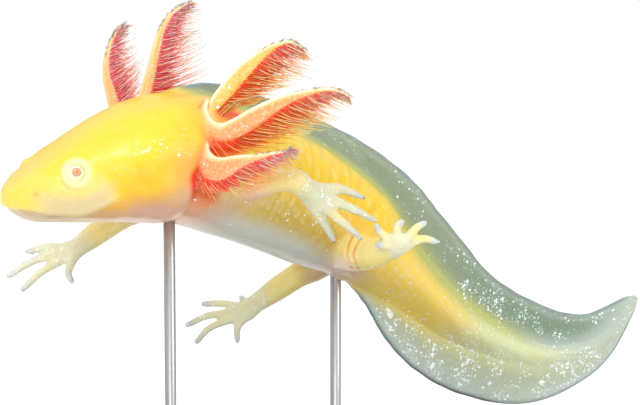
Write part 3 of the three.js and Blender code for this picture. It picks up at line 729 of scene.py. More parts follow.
def pink_blotches(along, angle):
    """Share of the pinkish blotches behind the arm and at the tail's base."""
    patch = np.sin(along * 1.3 + angle * 0.31) * np.sin(along * 0.77 - angle * 0.23)
    patch = patch + 0.5 * np.sin(along * 2.9)
    behind_arm = bell(along, 53, 8) * bell(angle, -24, 13)
    tail_base = bell(along, 108, 12) * bell(angle, -24, 34)
    return smoothstep(patch, 0.1, 0.7) * np.clip(0.95 * behind_arm + 0.6 * tail_base, 0, 1)


def trunk_colour(grid):
    """Gold flanks with pale slanting streaks, a grey belly that is partly its own colour and partly painted
    shade on the underside, and an olive back; the tail pales to its tip.
    """
    along, angle = grid["along"], grid["angle"]
    gold = mix(FLANK_GOLD, GOLD, 0.35 * bell(along, 84, 12) * bell(angle, 10, 26))
    gold = mix(gold, TAIL_YELLOW, smoothstep(along, 96, 118))
    gold = mix(gold, TAIL_PALE, smoothstep(along, 124, 150))
    gold = mix(gold, TAIL_END, smoothstep(along, 160, 186))
    low = mix(FLANK_PALE, TAIL_YELLOW, smoothstep(along, 92, 106))
    low = mix(low, TAIL_PALE, smoothstep(along, 118, 146))
    colour = mix(gold, low, smoothstep(angle, 0, -26) * (1 - 0.8 * smoothstep(along, 96, 120)))
    streaks, fleck_rows = flank_marks(along, angle)
    colour = mix(colour, CHEEK_CREAM, 0.70 * streaks)
    colour = mix(colour, FLANK_STREAK, 0.55 * fleck_rows)
    colour = mix(colour, BLOTCH_PINK, pink_blotches(along, angle))
    # the belly's grey is partly its own colour and partly painted shade on the underside
    grey_belly_and_shade = smoothstep(angle, -30, -56) * (1 - smoothstep(along, 94, 112))
    colour = mix(colour, BELLY_GREY_AND_SHADE, grey_belly_and_shade)
    shoulder_blush = bell(along, 44, 8) * smoothstep(angle, -16, -40)
    hip_blush = bell(along, 97, 8) * smoothstep(angle, -24, -44)
    colour = mix(colour, THROAT_PINK, 0.72 * np.clip(shoulder_blush + hip_blush, 0, 1))
    lime = smoothstep(angle, 2, 60) * smoothstep(along, *TRUNK_TO_TAIL) * (1 - smoothstep(along, 140, 170))
    colour = mix(colour, LIME, 0.85 * lime)
    olive = smoothstep(angle, 62, 82) * smoothstep(along, 42, 56) * (1 - smoothstep(along, 100, 112))
    return mix(colour, LIME, 0.55 * olive)


def collar_colour(grid, colour):
    """The neck round the gills: gold above, then orange, red and rust down the pocket behind the head."""
    along, angle = grid["along"], grid["angle"]
    band = smoothstep(along, 36, 39) * (1 - smoothstep(along, 46, 54))
    colour = mix(colour, NECK_GOLD, 0.85 * band * smoothstep(angle, 14, 30) * smoothstep(angle, 84, 70))
    tone = mix(NECK_GOLD, POCKET_ORANGE, smoothstep(angle, 32, 16))
    tone = mix(tone, GILL_RED, smoothstep(angle, -3, -9))
    tone = mix(tone, RUST, smoothstep(angle, -18, -26))
    # painted shade low in the pocket behind the head
    tone = mix(tone, REAR_PEACH * COLLAR_SHADE, smoothstep(angle, -30, -40))
    between = bell(along, 46.0, 3.2) * bell(angle, 38, 7)
    colour = mix(colour, GILL_RED, 0.9 * between)
    edge = head_edge(angle)
    pocket = smoothstep(along, edge - 2.0, edge - 0.4) * (1 - smoothstep(along, edge + 4.5, edge + 9))
    pocket = pocket * smoothstep(angle, 32, 18) * (1 - 0.7 * smoothstep(angle, -36, -56))
    return mix(colour, tone, np.clip(pocket, 0, 1))


def fin_colour(grid, colour):
    """From the flesh out: olive or lime, grey-green, a paler band and a fine blue-grey line at the edge."""
    along = grid["along"]
    upper = grid["tall"] > 0
    height = fin_height(along, upper)
    flesh = np.where(upper, eased(FLESH, along, 2), eased(FLESH, along, 3))
    over = np.abs(grid["tall"]) - flesh
    stands = smoothstep(height, 0.4, 2.5)
    behind = smoothstep(along, *TRUNK_TO_TAIL)
    share = np.clip(over / np.maximum(height, 0.5), 0, 1)
    grey = mix(FIN_GREY, FIN_GREY * FIN_COOL, smoothstep(along, 110, 150))
    low = mix(FIN_SHADE, FIN_PALE, smoothstep(share, 0.15, 0.9))
    grey = np.where(upper[..., None], grey, low)
    grey = mix(grey, FIN_PALE * 0.9, 0.6 * smoothstep(along, 176, 194))
    foot = np.where(upper, smoothstep(over, -2.6, -0.2), 0.35 * smoothstep(over, -1.8, 0.6)) * stands
    tone = np.where(upper[..., None], mix(LIME, FIN_OLIVE, smoothstep(over, -0.6, 1.2)), FIN_OLIVE)
    tone = mix(tone, TAIL_END, smoothstep(along, 146, 172))
    colour = mix(colour, tone, foot)
    colour = mix(colour, grey, smoothstep(over, -0.6 - 0.8 * behind, 2.0 + 1.6 * behind) * stands)
    edge = height - np.abs(grid["fin_tall"])
    on_fin = grid["fin"] > 0.02
    band = 0.35 * bell(edge, 1.5, 0.7) * smoothstep(along, 60, 100)
    colour = mix(colour, FIN_PALE, band * stands * on_fin)
    return mix(colour, FIN_LINE, 0.9 * smoothstep(edge, 0.95, 0.35) * stands * on_fin)


def body_colour(grid):
    along = grid["along"]
    colour = mix(head_colour(grid), trunk_colour(grid), smoothstep(along, *HEAD_TO_TRUNK))
    colour = collar_colour(grid, colour)
    # painted shade in the costal grooves
    shade = np.clip(-groove_relief(grid) / GROOVE_DEPTH, 0, 1)
    colour = mix(colour, colour * GROOVE_SHADE, 0.5 * shade)
    colour = fin_colour(grid, colour)
    for side in EYES:
        reach, turn, near = round_eye(grid, side)
        colour = mix(colour, EYE_RING, 0.8 * smoothstep(reach, 4.0, 2.4) * near)
        # painted shade in the crease below and in front of the eye
        crease = low_front(turn) ** 2 * bell(reach, 3.3, 0.38) * near
        colour = mix(colour, HOLLOW_SHADE_OCHRE, 0.35 * crease)
    return colour


def body_flecks_and_glints(grid):
    """How thickly white flecks lie, from 0 to 1; on the lower flank and the cheek they are partly the skin's
    own flecks and partly painted glints of wet skin.
    """
    along, angle, fin = grid["along"], grid["angle"], grid["fin"]
    out = np.abs(grid["fin_tall"])
    up_side = grid["fin_tall"] > 0
    height = fin_height(along, up_side)
    on_fin = (fin > 0.02) * smoothstep(along, 92, 135) * smoothstep(height - out, 0.6, 1.8)
    upper = on_fin * up_side * (0.34 + 0.85 * bell(along, 160, 22))
    lower = on_fin * (grid["fin_tall"] < 0) * (0.75 + 0.6 * bell(along, 150, 26))
    tail = (fin <= 0.02) * smoothstep(along, 104, 150) * (0.26 + 0.6 * smoothstep(angle, -10, -70))
    flank = bell(along, 66, 18) * bell(angle, -34, 18) * 0.12
    cheek = bell(along, 30, 5) * bell(angle, 16, 8) * 0.30
    back_fin = (fin > 0.02) * bell(along, 88, 22) * 0.10
    return np.clip(upper + lower + tail + flank + cheek + back_fin, 0, 1)


# ---- Legs and gill stalks ----

# For each leg: its joints from the shoulder or hip inside the flesh to the palm, the radii along them, each
# digit's middle and tip, and the digits' radii. Its colours are root above and under below, which fade to
# straw over the distances in fade; pale and grey are how far from a digit's tip those colours begin, tone is
# its brightness, set for each leg by how brightly it is lit, so that above 1 it is painted light and below 1
# painted shade, and dots is the strength of its dark fingertips.
LEGS = {
    "left_fore": {
        "joints": [(-14.0, -22.2, 78.5), (0.5, -29.8, 82.0), (4.6, -28.2, 80.0), (7.0, -26.8, 78.0)],
        "radii": (3.5, 2.5, 2.7),
        "digits": [
            ((9.1, -24.7, 71.4), (11.4, -23.8, 67.0)),
            ((13.4, -26.7, 71.8), (17.5, -25.7, 68.0)),
            ((15.6, -24.8, 74.7), (20.9, -23.2, 71.6)),
            ((12.6, -24.5, 79.3), (18.2, -22.5, 76.9)),
        ],
        "digit_radii": (1.40, 1.20, 0.86, 0.55),
        "root": (246, 148, 44),
        "grey": 5.5,
        "pale": 9,
        "under": (230, 190, 160),
        "fade": (9, 18),
        "tone": 0.96,
        "dots": 1.0,
    },
    "right_fore": {
        "joints": [(-26.4, -7.5, 75.8), (-38.2, -1.3, 69.8), (-47.9, -6.2, 63.4), (-50.4, -7.4, 61.9)],
        "radii": (3.7, 3.1, 2.4),
        "digits": [
            ((-50.1, -10.5, 57.8), (-48.9, -12.2, 55.7)),
            ((-56.3, -10.0, 58.0), (-60.9, -12.5, 53.9)),
            ((-58.4, -8.7, 60.3), (-64.5, -10.0, 56.7)),
            ((-55.8, -7.4, 63.4), (-60.4, -7.5, 62.1)),
        ],
        "digit_radii": (1.20, 0.98, 0.86, 0.76),
        "root": (186, 158, 112),
        "grey": 4.5,
        "pale": 9,
        "under": (196, 172, 150),
        "fade": (9, 16),
        "tone": 1.05,
        "dots": 0.0,
    },
    "left_hind": {
        "joints": [(13.2, 0.6, 61.4), (18.9, -9.5, 62.2), (23.6, -14.1, 64.2), (26.1, -15.9, 65.6)],
        "radii": (4.6, 3.8, 3.0),
        "digits": [
            ((22.1, -17.5, 65.4), (20.6, -18.1, 65.8)),
            ((21.4, -16.6, 68.6), (20.5, -17.3, 70.4)),
            ((25.5, -16.4, 69.5), (27.1, -16.2, 71.1)),
            ((29.7, -15.5, 68.9), (32.4, -15.1, 70.6)),
            ((31.8, -14.8, 66.5), (35.1, -14.9, 65.7)),
        ],
        "digit_radii": (1.30, 1.08, 0.92, 0.80),
        "root": (238, 222, 140),
        "grey": 2.6,
        "pale": 4.2,
        "under": (224, 202, 176),
        "fade": (8, 15),
        "tone": 1.07,
        "dots": 0.0,
    },
    "right_hind": {
        "joints": [(11.3, 14.3, 58.3), (2.2, 19.4, 51.9), (-6.9, 16.6, 46.2), (-10.2, 15.4, 44.0)],
        "radii": (4.2, 3.1, 2.4),
        "digits": [
            ((-10.8, 18.2, 46.4), (-11.4, 19.3, 47.1)),
            ((-15.6, 17.1, 45.6), (-21.0, 17.7, 45.4)),
            ((-19.0, 15.2, 43.0), (-24.6, 14.0, 40.7)),
            ((-18.5, 13.4, 40.4), (-22.1, 11.2, 36.9)),
            ((-12.0, 13.8, 40.2), (-11.9, 11.4, 37.0)),
        ],
        "digit_radii": (1.20, 0.98, 0.86, 0.76),
        "root": (196, 166, 74),
        "grey": 4.5,
        "pale": 9,
        "under": (206, 180, 140),
        "fade": (7, 13),
        "tone": 1.10,
        "dots": 0.0,
    },
}
DIGIT_STEPS = (0, 0.4, 0.8, 1)  # shares of a digit's length that digit_radii are given at
HAND_FLATNESS = 0.62  # thickness of a hand as a share of its width
LIMB_VOXEL = 0.38  # the size at which a leg's parts are grown together
LIMB_ROUNDS = 6  # how often its surface is smoothed afterwards

# For each gill: its upper edge from inside the neck to its tip, the direction its flat side faces, the widths
# of its fleshy face and the reach of its filaments beyond it at GILL_STEPS, the share of its length where the
# filaments start, how they sweep and curl towards the tip, how much more they sweep at the neck, how rosy
# they are, and the colour of its face.
GILL_STEPS = (0, 0.1, 0.2, 0.35, 0.55, 0.8, 1)
GILLS = {
    "gill_left_upper": {
        "edge": [(-17.7, -32.6, 94.4), (-16.9, -33.6, 98.0), (-15.4, -33.0, 101.2), (-12.6, -32.2, 104.7),
                 (-9.0, -31.7, 108.4), (-5.2, -30.8, 111.0), (-1.4, -29.6, 112.6), (1.6, -28.5, 112.9),
                 (4.3, -27.7, 111.3)],
        "faces": (0.1, -1, 0.15),
        "widths": (1.4, 2.3, 3.2, 3.7, 3.2, 1.3, 0.5),
        "reach": (3.4, 4.4, 5.4, 7.8, 9.2, 7.8, 2.8),
        "start": 0.03,
        "sweep": 0.48,
        "root_sweep": 0.5,
        "curl": 0.30,
        "rosy": 0.0,
        "face": (248, 190, 88),
    },
    "gill_left_middle": {
        "edge": [(-16.2, -33.4, 100.0), (-16.6, -35.2, 98.8), (-16.4, -36.3, 97.3), (-15.4, -36.8, 96.0),
                 (-13.5, -37.0, 95.4), (-10.7, -37.4, 96.6), (-6.6, -38.0, 99.0), (-2.6, -37.8, 100.8),
                 (1.5, -37.1, 102.1), (5.6, -36.0, 102.8), (9.3, -34.4, 103.0), (12.6, -33.5, 102.4),
                 (14.6, -33.2, 101.0)],
        "faces": (0, -1, 0.1),
        "widths": (0.9, 1.5, 4.3, 4.5, 3.0, 1.2, 0.5),
        "reach": (3, 4.5, 7.0, 9.4, 9.2, 5.5, 2.0),
        "start": 0.12,
        "sweep": 0.95,
        "root_sweep": 0.2,
        "curl": 0.30,
        "rosy": 0.0,
        "face": (250, 160, 100),
    },
    "gill_left_lower": {
        "edge": [(-16.1, -39.2, 91.4), (-15.9, -40.4, 89.9), (-14.7, -41.6, 88.8), (-13.0, -43.0, 88.7),
                 (-10.0, -44.4, 89.3), (-6.6, -44.9, 89.6), (-3.4, -44.9, 90.0), (-0.6, -44.3, 90.2),
                 (1.5, -43.7, 90.8)],
        "faces": (-0.1, -1, 0),
        "widths": (1.0, 3.6, 5.4, 4.4, 2.4, 0.9, 0.4),
        "reach": (2.8, 3.4, 4.2, 4.8, 5.2, 4.8, 2.6),
        "start": 0.10,
        "sweep": 1.35,
        "root_sweep": 0.6,
        "curl": 0.28,
        "rosy": 0.35,
        "face": (250, 158, 104),
    },
    "gill_right_upper": {
        "edge": [(-33.8, -13.5, 97.5), (-32.6, -11.4, 101.7), (-31.1, -9.1, 107.0), (-30.2, -7.6, 110.7),
                 (-28.9, -6.1, 114.3), (-26.9, -4.7, 117.2), (-24.4, -3.9, 119.0), (-22.4, -3.3, 119.9)],
        "faces": (0.15, -1, 0.1),
        "widths": (3.2, 3.0, 2.7, 2.3, 2.0, 1.2, 0.5),
        "reach": (12.5, 13, 12, 9.6, 7.6, 5.2, 2.2),
        "start": 0.05,
        "sweep": 0.40,
        "root_sweep": -0.15,
        "curl": 0.30,
        "rosy": 0.85,
        "face": (222, 168, 92),
    },
    "gill_right_middle": {
        "edge": [(-40.5, -5.8, 94.5), (-42.3, -0.9, 100.9), (-42.7, 2.1, 104.5), (-42.2, 4.1, 107.8),
                 (-41.2, 5.5, 110.5), (-39.9, 6.3, 112.8), (-38.5, 7.0, 114.0)],
        "faces": (0.2, -1, 0.1),
        "widths": (3.0, 2.8, 2.6, 2.1, 1.6, 0.9, 0.4),
        "reach": (6.5, 7.6, 8.3, 8.0, 6.3, 3.9, 2.0),
        "start": 0.05,
        "sweep": 0.38,
        "root_sweep": 0,
        "curl": 0.30,
        "rosy": 1.0,
        "face": (222, 170, 104),
    },
    "gill_right_lower": {
        "edge": [(-31.5, -14.5, 85.5), (-34.5, -8.0, 86.0), (-35.5, 1.5, 86.0), (-34.0, 11.5, 86.5),
                 (-30.8, 20.0, 87.0)],
        "faces": (1, 0.1, -0.1),
        "widths": (3.0, 3.6, 3.8, 3.0, 2.0, 1.0, 0.4),
        "reach": (2.4, 3.0, 3.8, 4.4, 4.6, 4.0, 2.2),
        "start": 0.16,
        "sweep": 1.0,
        "root_sweep": 0.5,
        "curl": 0.30,
        "rosy": 0.5,
        "face": (246, 140, 84),
    },
}
RED_BAND = 1.7  # how far a blade goes on under the filaments, past its fleshy face
BAND_THICKNESS = 0.34  # half thickness of that part
RIM_RADIUS = 0.40  # the pale bead along a gill's upper edge
BLADE_ROOT, BLADE_TIP = 1.5, 0.45  # half thickness of a gill's blade
BLADE_POINTS = 22
CAP_STEPS = np.radians([25, 50, 75])  # angles of the rings that round off a tube's end
ANY_DIRECTION = (0.31, 0.52, 0.79)  # what a round tube's rings start from; they are the same all round
NEAR_BLADE = 0.5  # a seam closer than this to a blade is a gill's


def tube(path, radius_at, across=None, flatten=1.0, sides=22, steps=40):
    """A closed round-ended tube. across is the direction that stays wide when it is flattened."""
    share = np.linspace(0, 1, steps)
    at = share * path.length
    direction = path.direction(at)
    side = np.array(ANY_DIRECTION) if across is None else np.asarray(across, float)
    first = unit(side - direction * (direction @ side)[:, None])
    second = np.cross(direction, first)
    radius = radius_at(share)
    place = path.place(at)
    turn = np.linspace(0, 2 * math.pi, sides, endpoint=False)
    cos, sin = np.cos(turn)[:, None], np.sin(turn)[:, None]
    rings = [place[i] + radius[i] * (cos * first[i] + sin * flatten * second[i]) for i in range(steps)]

    def cap(i, sign):
        height = direction[i] * sign * radius[i] * flatten
        return [place[i] + (rings[i] - place[i]) * math.cos(a) + height * math.sin(a) for a in CAP_STEPS]

    return loft(np.array(cap(0, -1)[::-1] + rings + cap(steps - 1, 1)))


def joined(parts):
    """One list of points and faces from several closed forms."""
    points, faces, offset = [], [], 0
    for p, f in parts:
        points.append(p)
        faces += [[k + offset for k in face] for face in facing_out(p, f)]
        offset += len(p)
    return np.vstack(points), faces


def arm_tube(leg):
    """The limb from inside the flesh to the wrist, thickest at its muscles."""
    socket, bend, wrist, palm = np.array(leg["joints"], float)
    limb = Path([socket, bend, wrist, wrist + (palm - wrist) * 0.7])
    upper, lower = np.linalg.norm(bend - socket), np.linalg.norm(wrist - bend)
    elbow, end = upper / limb.length, (upper + lower) / limb.length
    r0, r1, r2 = leg["radii"]
    profile = np.array([
        (0, r0),
        (elbow * 0.6, (r0 + r1) / 2 + 0.2),
        (elbow, r1),
        ((elbow + end) / 2, (r1 + r2) / 2 + 0.2),
        (end, r2),
        (1.05, r2 * 0.9),
    ])
    return tube(limb, lambda share: look_up(profile, share, 1))


def leg_parts(leg):
    """Closed forms of a limb, its flat hand or foot, and its digits."""
    wrist, palm = np.array(leg["joints"], float)[2:]
    digits = np.array(leg["digits"], float)
    wide = leg["radii"][2]
    first, last = unit(digits[0, 0] - palm), unit(digits[-1, 0] - palm)
    reach = unit(palm - wrist)
    spread = unit(last - first)
    hand = Path([wrist - reach * 0.5, (wrist + palm) / 2, palm, palm + unit(first + last) * wide * 0.35])
    width = np.array([(0, wide * 0.95), (0.5, wide * 1.12), (0.8, wide * 1.25), (1, wide * 0.95)])
    parts = [
        arm_tube(leg),
        tube(hand, lambda share: look_up(width, share, 1), across=spread, flatten=HAND_FLATNESS, steps=20),
    ]
    radii = np.column_stack([DIGIT_STEPS, leg["digit_radii"]])
    for i, (middle, tip) in enumerate(digits):
        side = i / (len(digits) - 1) - 0.5
        knuckle = palm + spread * side * wide * 1.2 + (middle - palm) * 0.15
        final = tip - unit(tip - middle) * leg["digit_radii"][-1] * 0.8
        digit = Path([knuckle, middle, final])
        parts.append(tube(digit, lambda share: look_up(radii, share, 1), sides=14, steps=18))
    return parts


def remeshed(name, parts, voxel, rounds):
    """Parts grown together into one closed form, softened."""
    points, faces = joined(parts)
    piece = link(name, mesh_of(name, points, faces))
    remesh = piece.modifiers.new("grow", "REMESH")
    remesh.mode = "VOXEL"
    remesh.voxel_size = voxel
    mesh = evaluated(piece)
    bpy.data.objects.remove(piece)
    soft = relax(points_of(mesh), edges_of(mesh), np.full(len(mesh.vertices), 0.5), rounds)
    set_points(mesh, soft)
    return mesh


def limb_facts(points, leg):
    """For points round a leg: distance from its root, palm and nearest tip, and height over its bones."""
    joints, tips = np.array(leg["joints"], float), np.array(leg["digits"], float)[:, 1]
    from_root = np.linalg.norm(points - joints[0], axis=1)
    to_palm = np.linalg.norm(points - joints[3], axis=1)
    to_tip = np.min([np.linalg.norm(points - t, axis=1) for t in tips], axis=0)
    bones = Path(joints[:3], 12).points
    index, _ = nearest(bones, points)
    return from_root, to_palm, to_tip, (points - bones[index])[:, 2] / leg["radii"][1]


def leg_colour(points, leg):
    from_root, to_palm, to_tip, over = limb_facts(points, leg)
    root = mix(srgb(*leg["root"]), srgb(*leg["under"]), smoothstep(over, 0.3, -0.7))
    colour = mix(root, LIMB_STRAW, smoothstep(from_root, *leg["fade"]))
    pale = leg["pale"]
    on_hand = np.maximum(smoothstep(to_palm, pale, 3), smoothstep(to_tip, pale, pale - 3))
    colour = mix(colour, LIMB_PALE, on_hand)
    colour = mix(colour, DIGIT_GREY, 0.9 * smoothstep(to_tip, leg["grey"], 1.0))
    # tone paints light onto the legs where it is above 1 and shade onto the near fore leg, where it is below
    # 1
    colour = np.clip(colour * leg["tone"], 0, 0.98)
    return mix(colour, CLAW_DARK, 0.85 * leg["dots"] * smoothstep(to_tip, 0.85, 0.4))


def leg_flecks_and_glints(points, leg):
    """White flecks thicken past the elbow, over the forearm and the hand: partly the skin's own flecks and
    partly painted glints of wet skin.
    """
    joints = np.array(leg["joints"], float)
    past = np.linalg.norm(points - joints[0], axis=1) / np.linalg.norm(joints[1] - joints[0])
    return 0.08 + 0.26 * smoothstep(past, 0.8, 1.4)


def gill_frame(gill, share):
    """Place on a gill's upper edge, and the directions to its tip, across its blade and out of its face."""
    path = Path(gill["edge"], 40)
    at = share * path.length
    direction = path.direction(at)
    out = unit(np.cross(direction, np.array(gill["faces"], float)))
    return path.place(at), direction, out, np.cross(out, direction)


def gill_value(gill, key, share):
    return look_up(np.column_stack([GILL_STEPS, gill[key]]), share, 1)


def band_width(share):
    """How far a blade goes on past its face: little at its root and at its tip."""
    at_tip = 0.12 + 0.88 * smoothstep(share, 1.0, 0.72)
    at_root = 0.3 + 0.7 * smoothstep(share, 0.03, 0.14)
    return RED_BAND * at_tip * at_root


def blade_profile(gill, share, across):
    """Half thickness of a blade at a share of its length and a distance across it."""
    width = gill_value(gill, "widths", share)
    band = band_width(share)
    rim = RIM_RADIUS * (1 - 0.45 * share)
    bead = np.sqrt(np.clip(rim**2 - (across - rim) ** 2, 0, None))
    thick = np.minimum(BLADE_TIP + (BLADE_ROOT - BLADE_TIP) * (1 - share) ** 1.2, width * 0.5)
    face = thick * smoothstep(across, width + 0.3, width - 0.9) * (1 - np.exp(-across / 0.9))
    past = np.clip((across - width * 0.5) / (width * 0.5 + band), 0, 1)
    under = BAND_THICKNESS * np.sqrt(np.clip(1 - past**4, 0, None)) * smoothstep(across, 0.0, 0.8)
    return (bead**4 + face**4 + under**4) ** 0.25


def make_blade(gill):
    """A gill's flat blade with a bead along its upper edge, and each point's share and distance across."""
    share = np.concatenate([np.linspace(0, 1, 58), [1.006, 1.010]])
    inside = np.clip(share, 0, 1)
    place, _, out, face = gill_frame(gill, inside)
    closing = np.where(share > 1, np.sqrt(np.clip(1.012 - share, 0, 1) / 0.012), 1)
    width = (gill_value(gill, "widths", inside) + band_width(inside)) * closing
    u = (1 - np.cos(np.linspace(0, math.pi, BLADE_POINTS + 1))) / 2
    across = width[:, None] * u[None, :]
    half = blade_profile(gill, inside[:, None], across) * closing[:, None]
    upper = place[:, None] + out[:, None] * across[..., None] + face[:, None] * half[..., None]
    lower = place[:, None] + out[:, None] * across[..., None] - face[:, None] * half[..., None]
    grid = np.concatenate([upper, lower[:, -2:0:-1]], 1)
    points, faces = loft(grid)
    ring = np.concatenate([across, across[:, -2:0:-1]], 1)
    at = np.repeat(inside[:, None], ring.shape[1], 1)
    ends = lambda values: np.concatenate([values.reshape(-1), [values[0, 0], values[-1, 0]]])
    return points, facing_out(points, faces), ends(at), ends(ring)


def blade_colour(gill, share, across):
    """From the edge inwards: a cream bead, a gold strip, the face, and a sharp line to red."""
    width = gill_value(gill, "widths", share)
    face, rosy = srgb(*gill["face"]), gill["rosy"]
    stalk = mix(STALK_CREAM, face, 0.75 * rosy)
    colour = mix(stalk, face, smoothstep(across, 0.45, 1.3))
    colour = mix(colour, STALK_CREAM, 0.4 * smoothstep(share, 0.5, 0.95))
    colour = mix(colour, RIM_CREAM, smoothstep(across, 0.65, 0.35) * (1 - 0.8 * rosy))
    line = bell(across, width - 0.3, 0.35) * rosy * smoothstep(share, 0.05, 0.2)
    colour = mix(colour, RIM_CREAM, 0.5 * line)
    red = GILL_RED * (1 - rosy) + GILL_CRIMSON * rosy
    ragged = 0.22 * np.sin(share * 190) + 0.14 * np.sin(share * 330)
    past_face = smoothstep(across - width + ragged, -0.35, 0.25)
    colour = mix(colour, red, past_face * smoothstep(share, 0.02, 0.08))
    return mix(colour, DIGIT_GREY, 0.35 * smoothstep(share, 0.88, 1.0))


def blade_flecks(gill, share, across):
    """Cream flecks on the face, thickest near the neck."""
    width = gill_value(gill, "widths", share)
    on_face = smoothstep(across, 0.8, 1.3) * smoothstep(across - width, -0.1, -0.6)
    return on_face * 0.10 * (1 - 0.6 * smoothstep(share, 0.3, 0.9))


def blade_mottle(gill, share, across):
    """How strongly the face is mottled with cream."""
    width = gill_value(gill, "widths", share)
    return smoothstep(across, 0.3, 0.8) * smoothstep(across - width, 0.1, -0.5) * (1 - 0.3 * gill["rosy"])


# ---- The skin ----

def add_attribute(mesh, name, kind, values):
    layer = mesh.attributes.new(name, kind, "POINT")
    if kind == "FLOAT_COLOR":
        flat = np.concatenate([values, np.ones((len(values), 1))], 1).astype(np.float32).ravel()
        layer.data.foreach_set("color", flat)
    else:
        layer.data.foreach_set("value", np.asarray(values, np.float32))


def united(base, others):
    """The union of closed meshes as one mesh."""
    piece = link("skin_base", base)
    helpers = [link(f"join_{i}", mesh) for i, mesh in enumerate(others)]
    for helper in helpers:
        join = piece.modifiers.new("join", "BOOLEAN")
        join.operation = "UNION"
        join.solver = "MANIFOLD"
        join.object = helper
    mesh = evaluated(piece)
    for helper in [piece, *helpers]:
        bpy.data.objects.remove(helper)
    return mesh


# Creases in front of the thigh, as points on the skin.
THIGH_CREASES = (
    [(15.6, -7.0, 65.7), (14.4, -9.1, 64.2), (14.0, -9.9, 62.2), (14.4, -10.1, 60.1), (15.4, -8.8, 58.3)],
    [(17.0, -10.3, 65.3), (15.9, -11.3, 63.8), (15.4, -11.6, 62.0), (15.9, -11.5, 60.1), (16.9, -9.9, 58.5)],
)
CREASE_DEPTH = 0.34
CREASE_WIDTH = 0.42

# How the seams where forms join are smoothed: whether they are a gill's, how far from them the shape and the
# colours are blended, and how often.
SEAMS = (
    {"gill": False, "shape": 2.0, "colour": 3.6, "rounds": 26},
    {"gill": True, "shape": 1.0, "colour": 2.2, "rounds": 8},
)


def creased(mesh, facts):
    """The mesh and the colours of its points with the creases in front of the left thigh pressed in and
    painted darker along their lines as painted shade.
    """
    found = points_of(mesh)
    flat = np.empty(len(found) * 3, np.float32)
    mesh.vertices.foreach_get("normal", flat)
    normal = flat.reshape(-1, 3).astype(float)
    for line in THIGH_CREASES:
        _, apart = nearest(Path(line, 20).points, found)
        line_share = bell(apart, 0, CREASE_WIDTH)
        found = found - normal * (CREASE_DEPTH * (line_share - 0.4 * bell(apart, 1.0, 0.5)))[:, None]
        # painted shade along the thigh creases
        facts[:, :3] = mix(facts[:, :3], THIGH_CREASE_SHADE, 0.8 * line_share)
    set_points(mesh, found)
    return facts


def body_source():
    """The body's mesh, and its points with their colours, flecks, thinness and mottle."""
    grid = body_grid()
    points, faces = loft(sculpt(grid))
    thin = np.clip(grid["fin"], 0, 1) * smoothstep(np.abs(grid["fin_tall"]), 0.3, 2.5)
    tint = body_colour(grid).reshape(-1, 3)
    ends = lambda values: np.concatenate([values, values[[0, -1]]])
    facts = [ends(tint), ends(body_flecks_and_glints(grid).reshape(-1)), ends(thin.reshape(-1))]
    return mesh_of("body", points, facing_out(points, faces)), (points, *facts, np.full(len(points), 0.12))


def leg_source(name, leg):
    mesh = remeshed(name, leg_parts(leg), LIMB_VOXEL, LIMB_ROUNDS)
    at = points_of(mesh)
    plain = np.zeros(len(at))
    return mesh, (at, leg_colour(at, leg), leg_flecks_and_glints(at, leg), plain, plain + 0.3)


def gill_source(name, gill):
    at, faces, share, across = make_blade(gill)
    tint = blade_colour(gill, share, across)
    flecks, mottle = blade_flecks(gill, share, across), blade_mottle(gill, share, across)
    return mesh_of(name, at, faces), (at, tint, flecks, np.zeros(len(at)), mottle)


def blended_seams(mesh, found, facts, seam, blades):
    """Points and facts of the skin with its seams smoothed."""
    edges = edges_of(mesh)
    _, to_blade = nearest(blades, seam)
    for kind in SEAMS:
        chosen = to_blade < NEAR_BLADE if kind["gill"] else to_blade >= NEAR_BLADE
        _, to_seam = nearest(seam[chosen], found)
        found = relax(found, edges, 0.5 * smoothstep(to_seam, kind["shape"], 0.3), kind["rounds"])
        facts = relax(facts, edges, 0.5 * smoothstep(to_seam, kind["colour"], 0.5), kind["rounds"] + 10)
    return found, facts


def make_skin():
    """One closed skin over body, legs and gills, with facts taken from the form each point came from."""
    body, body_facts = body_source()
    legs = [leg_source(name, leg) for name, leg in LEGS.items()]
    gills = [gill_source(name, gill) for name, gill in GILLS.items()]
    mesh = united(body, [form for form, _ in legs + gills])
    sources = [body_facts] + [facts for _, facts in legs + gills]
    found = points_of(mesh)
    index, apart = nearest(np.vstack([source[0] for source in sources]), found)
    facts = np.concatenate([np.column_stack(source[1:]) for source in sources])[index]
    blades = np.vstack([source[0] for _, source in gills])
    found, facts = blended_seams(mesh, found, facts, found[apart > 1e-3], blades)
    set_points(mesh, found)
    facts = creased(mesh, facts)
    set_points(mesh, points_of(mesh) * MM)
    mesh.shade_smooth()
    mesh.name = "axolotl_skin"
    add_attribute(mesh, "ground", "FLOAT_COLOR", facts[:, :3])
    for column, name in ((3, "fleck_and_glint"), (4, "thin"), (5, "mottle")):
        add_attribute(mesh, name, "FLOAT", facts[:, column])
    return link("axolotl_skin", mesh)


# ---- Gill filaments ----

FILAMENT_SIDES = 4
CLUMP = 1.5  # distance between the clumps that the filaments' ends are drawn into
CLUMP_PULL = 0.5
TIP_ROSY = 0.6  # how much rosier the filaments are at a gill's tip
PATCH = 0.003  # size of a filament's patch on the unwrap
FAN_SWEEP = 1.7  # how much further the filaments sweep towards the tip at the very tip

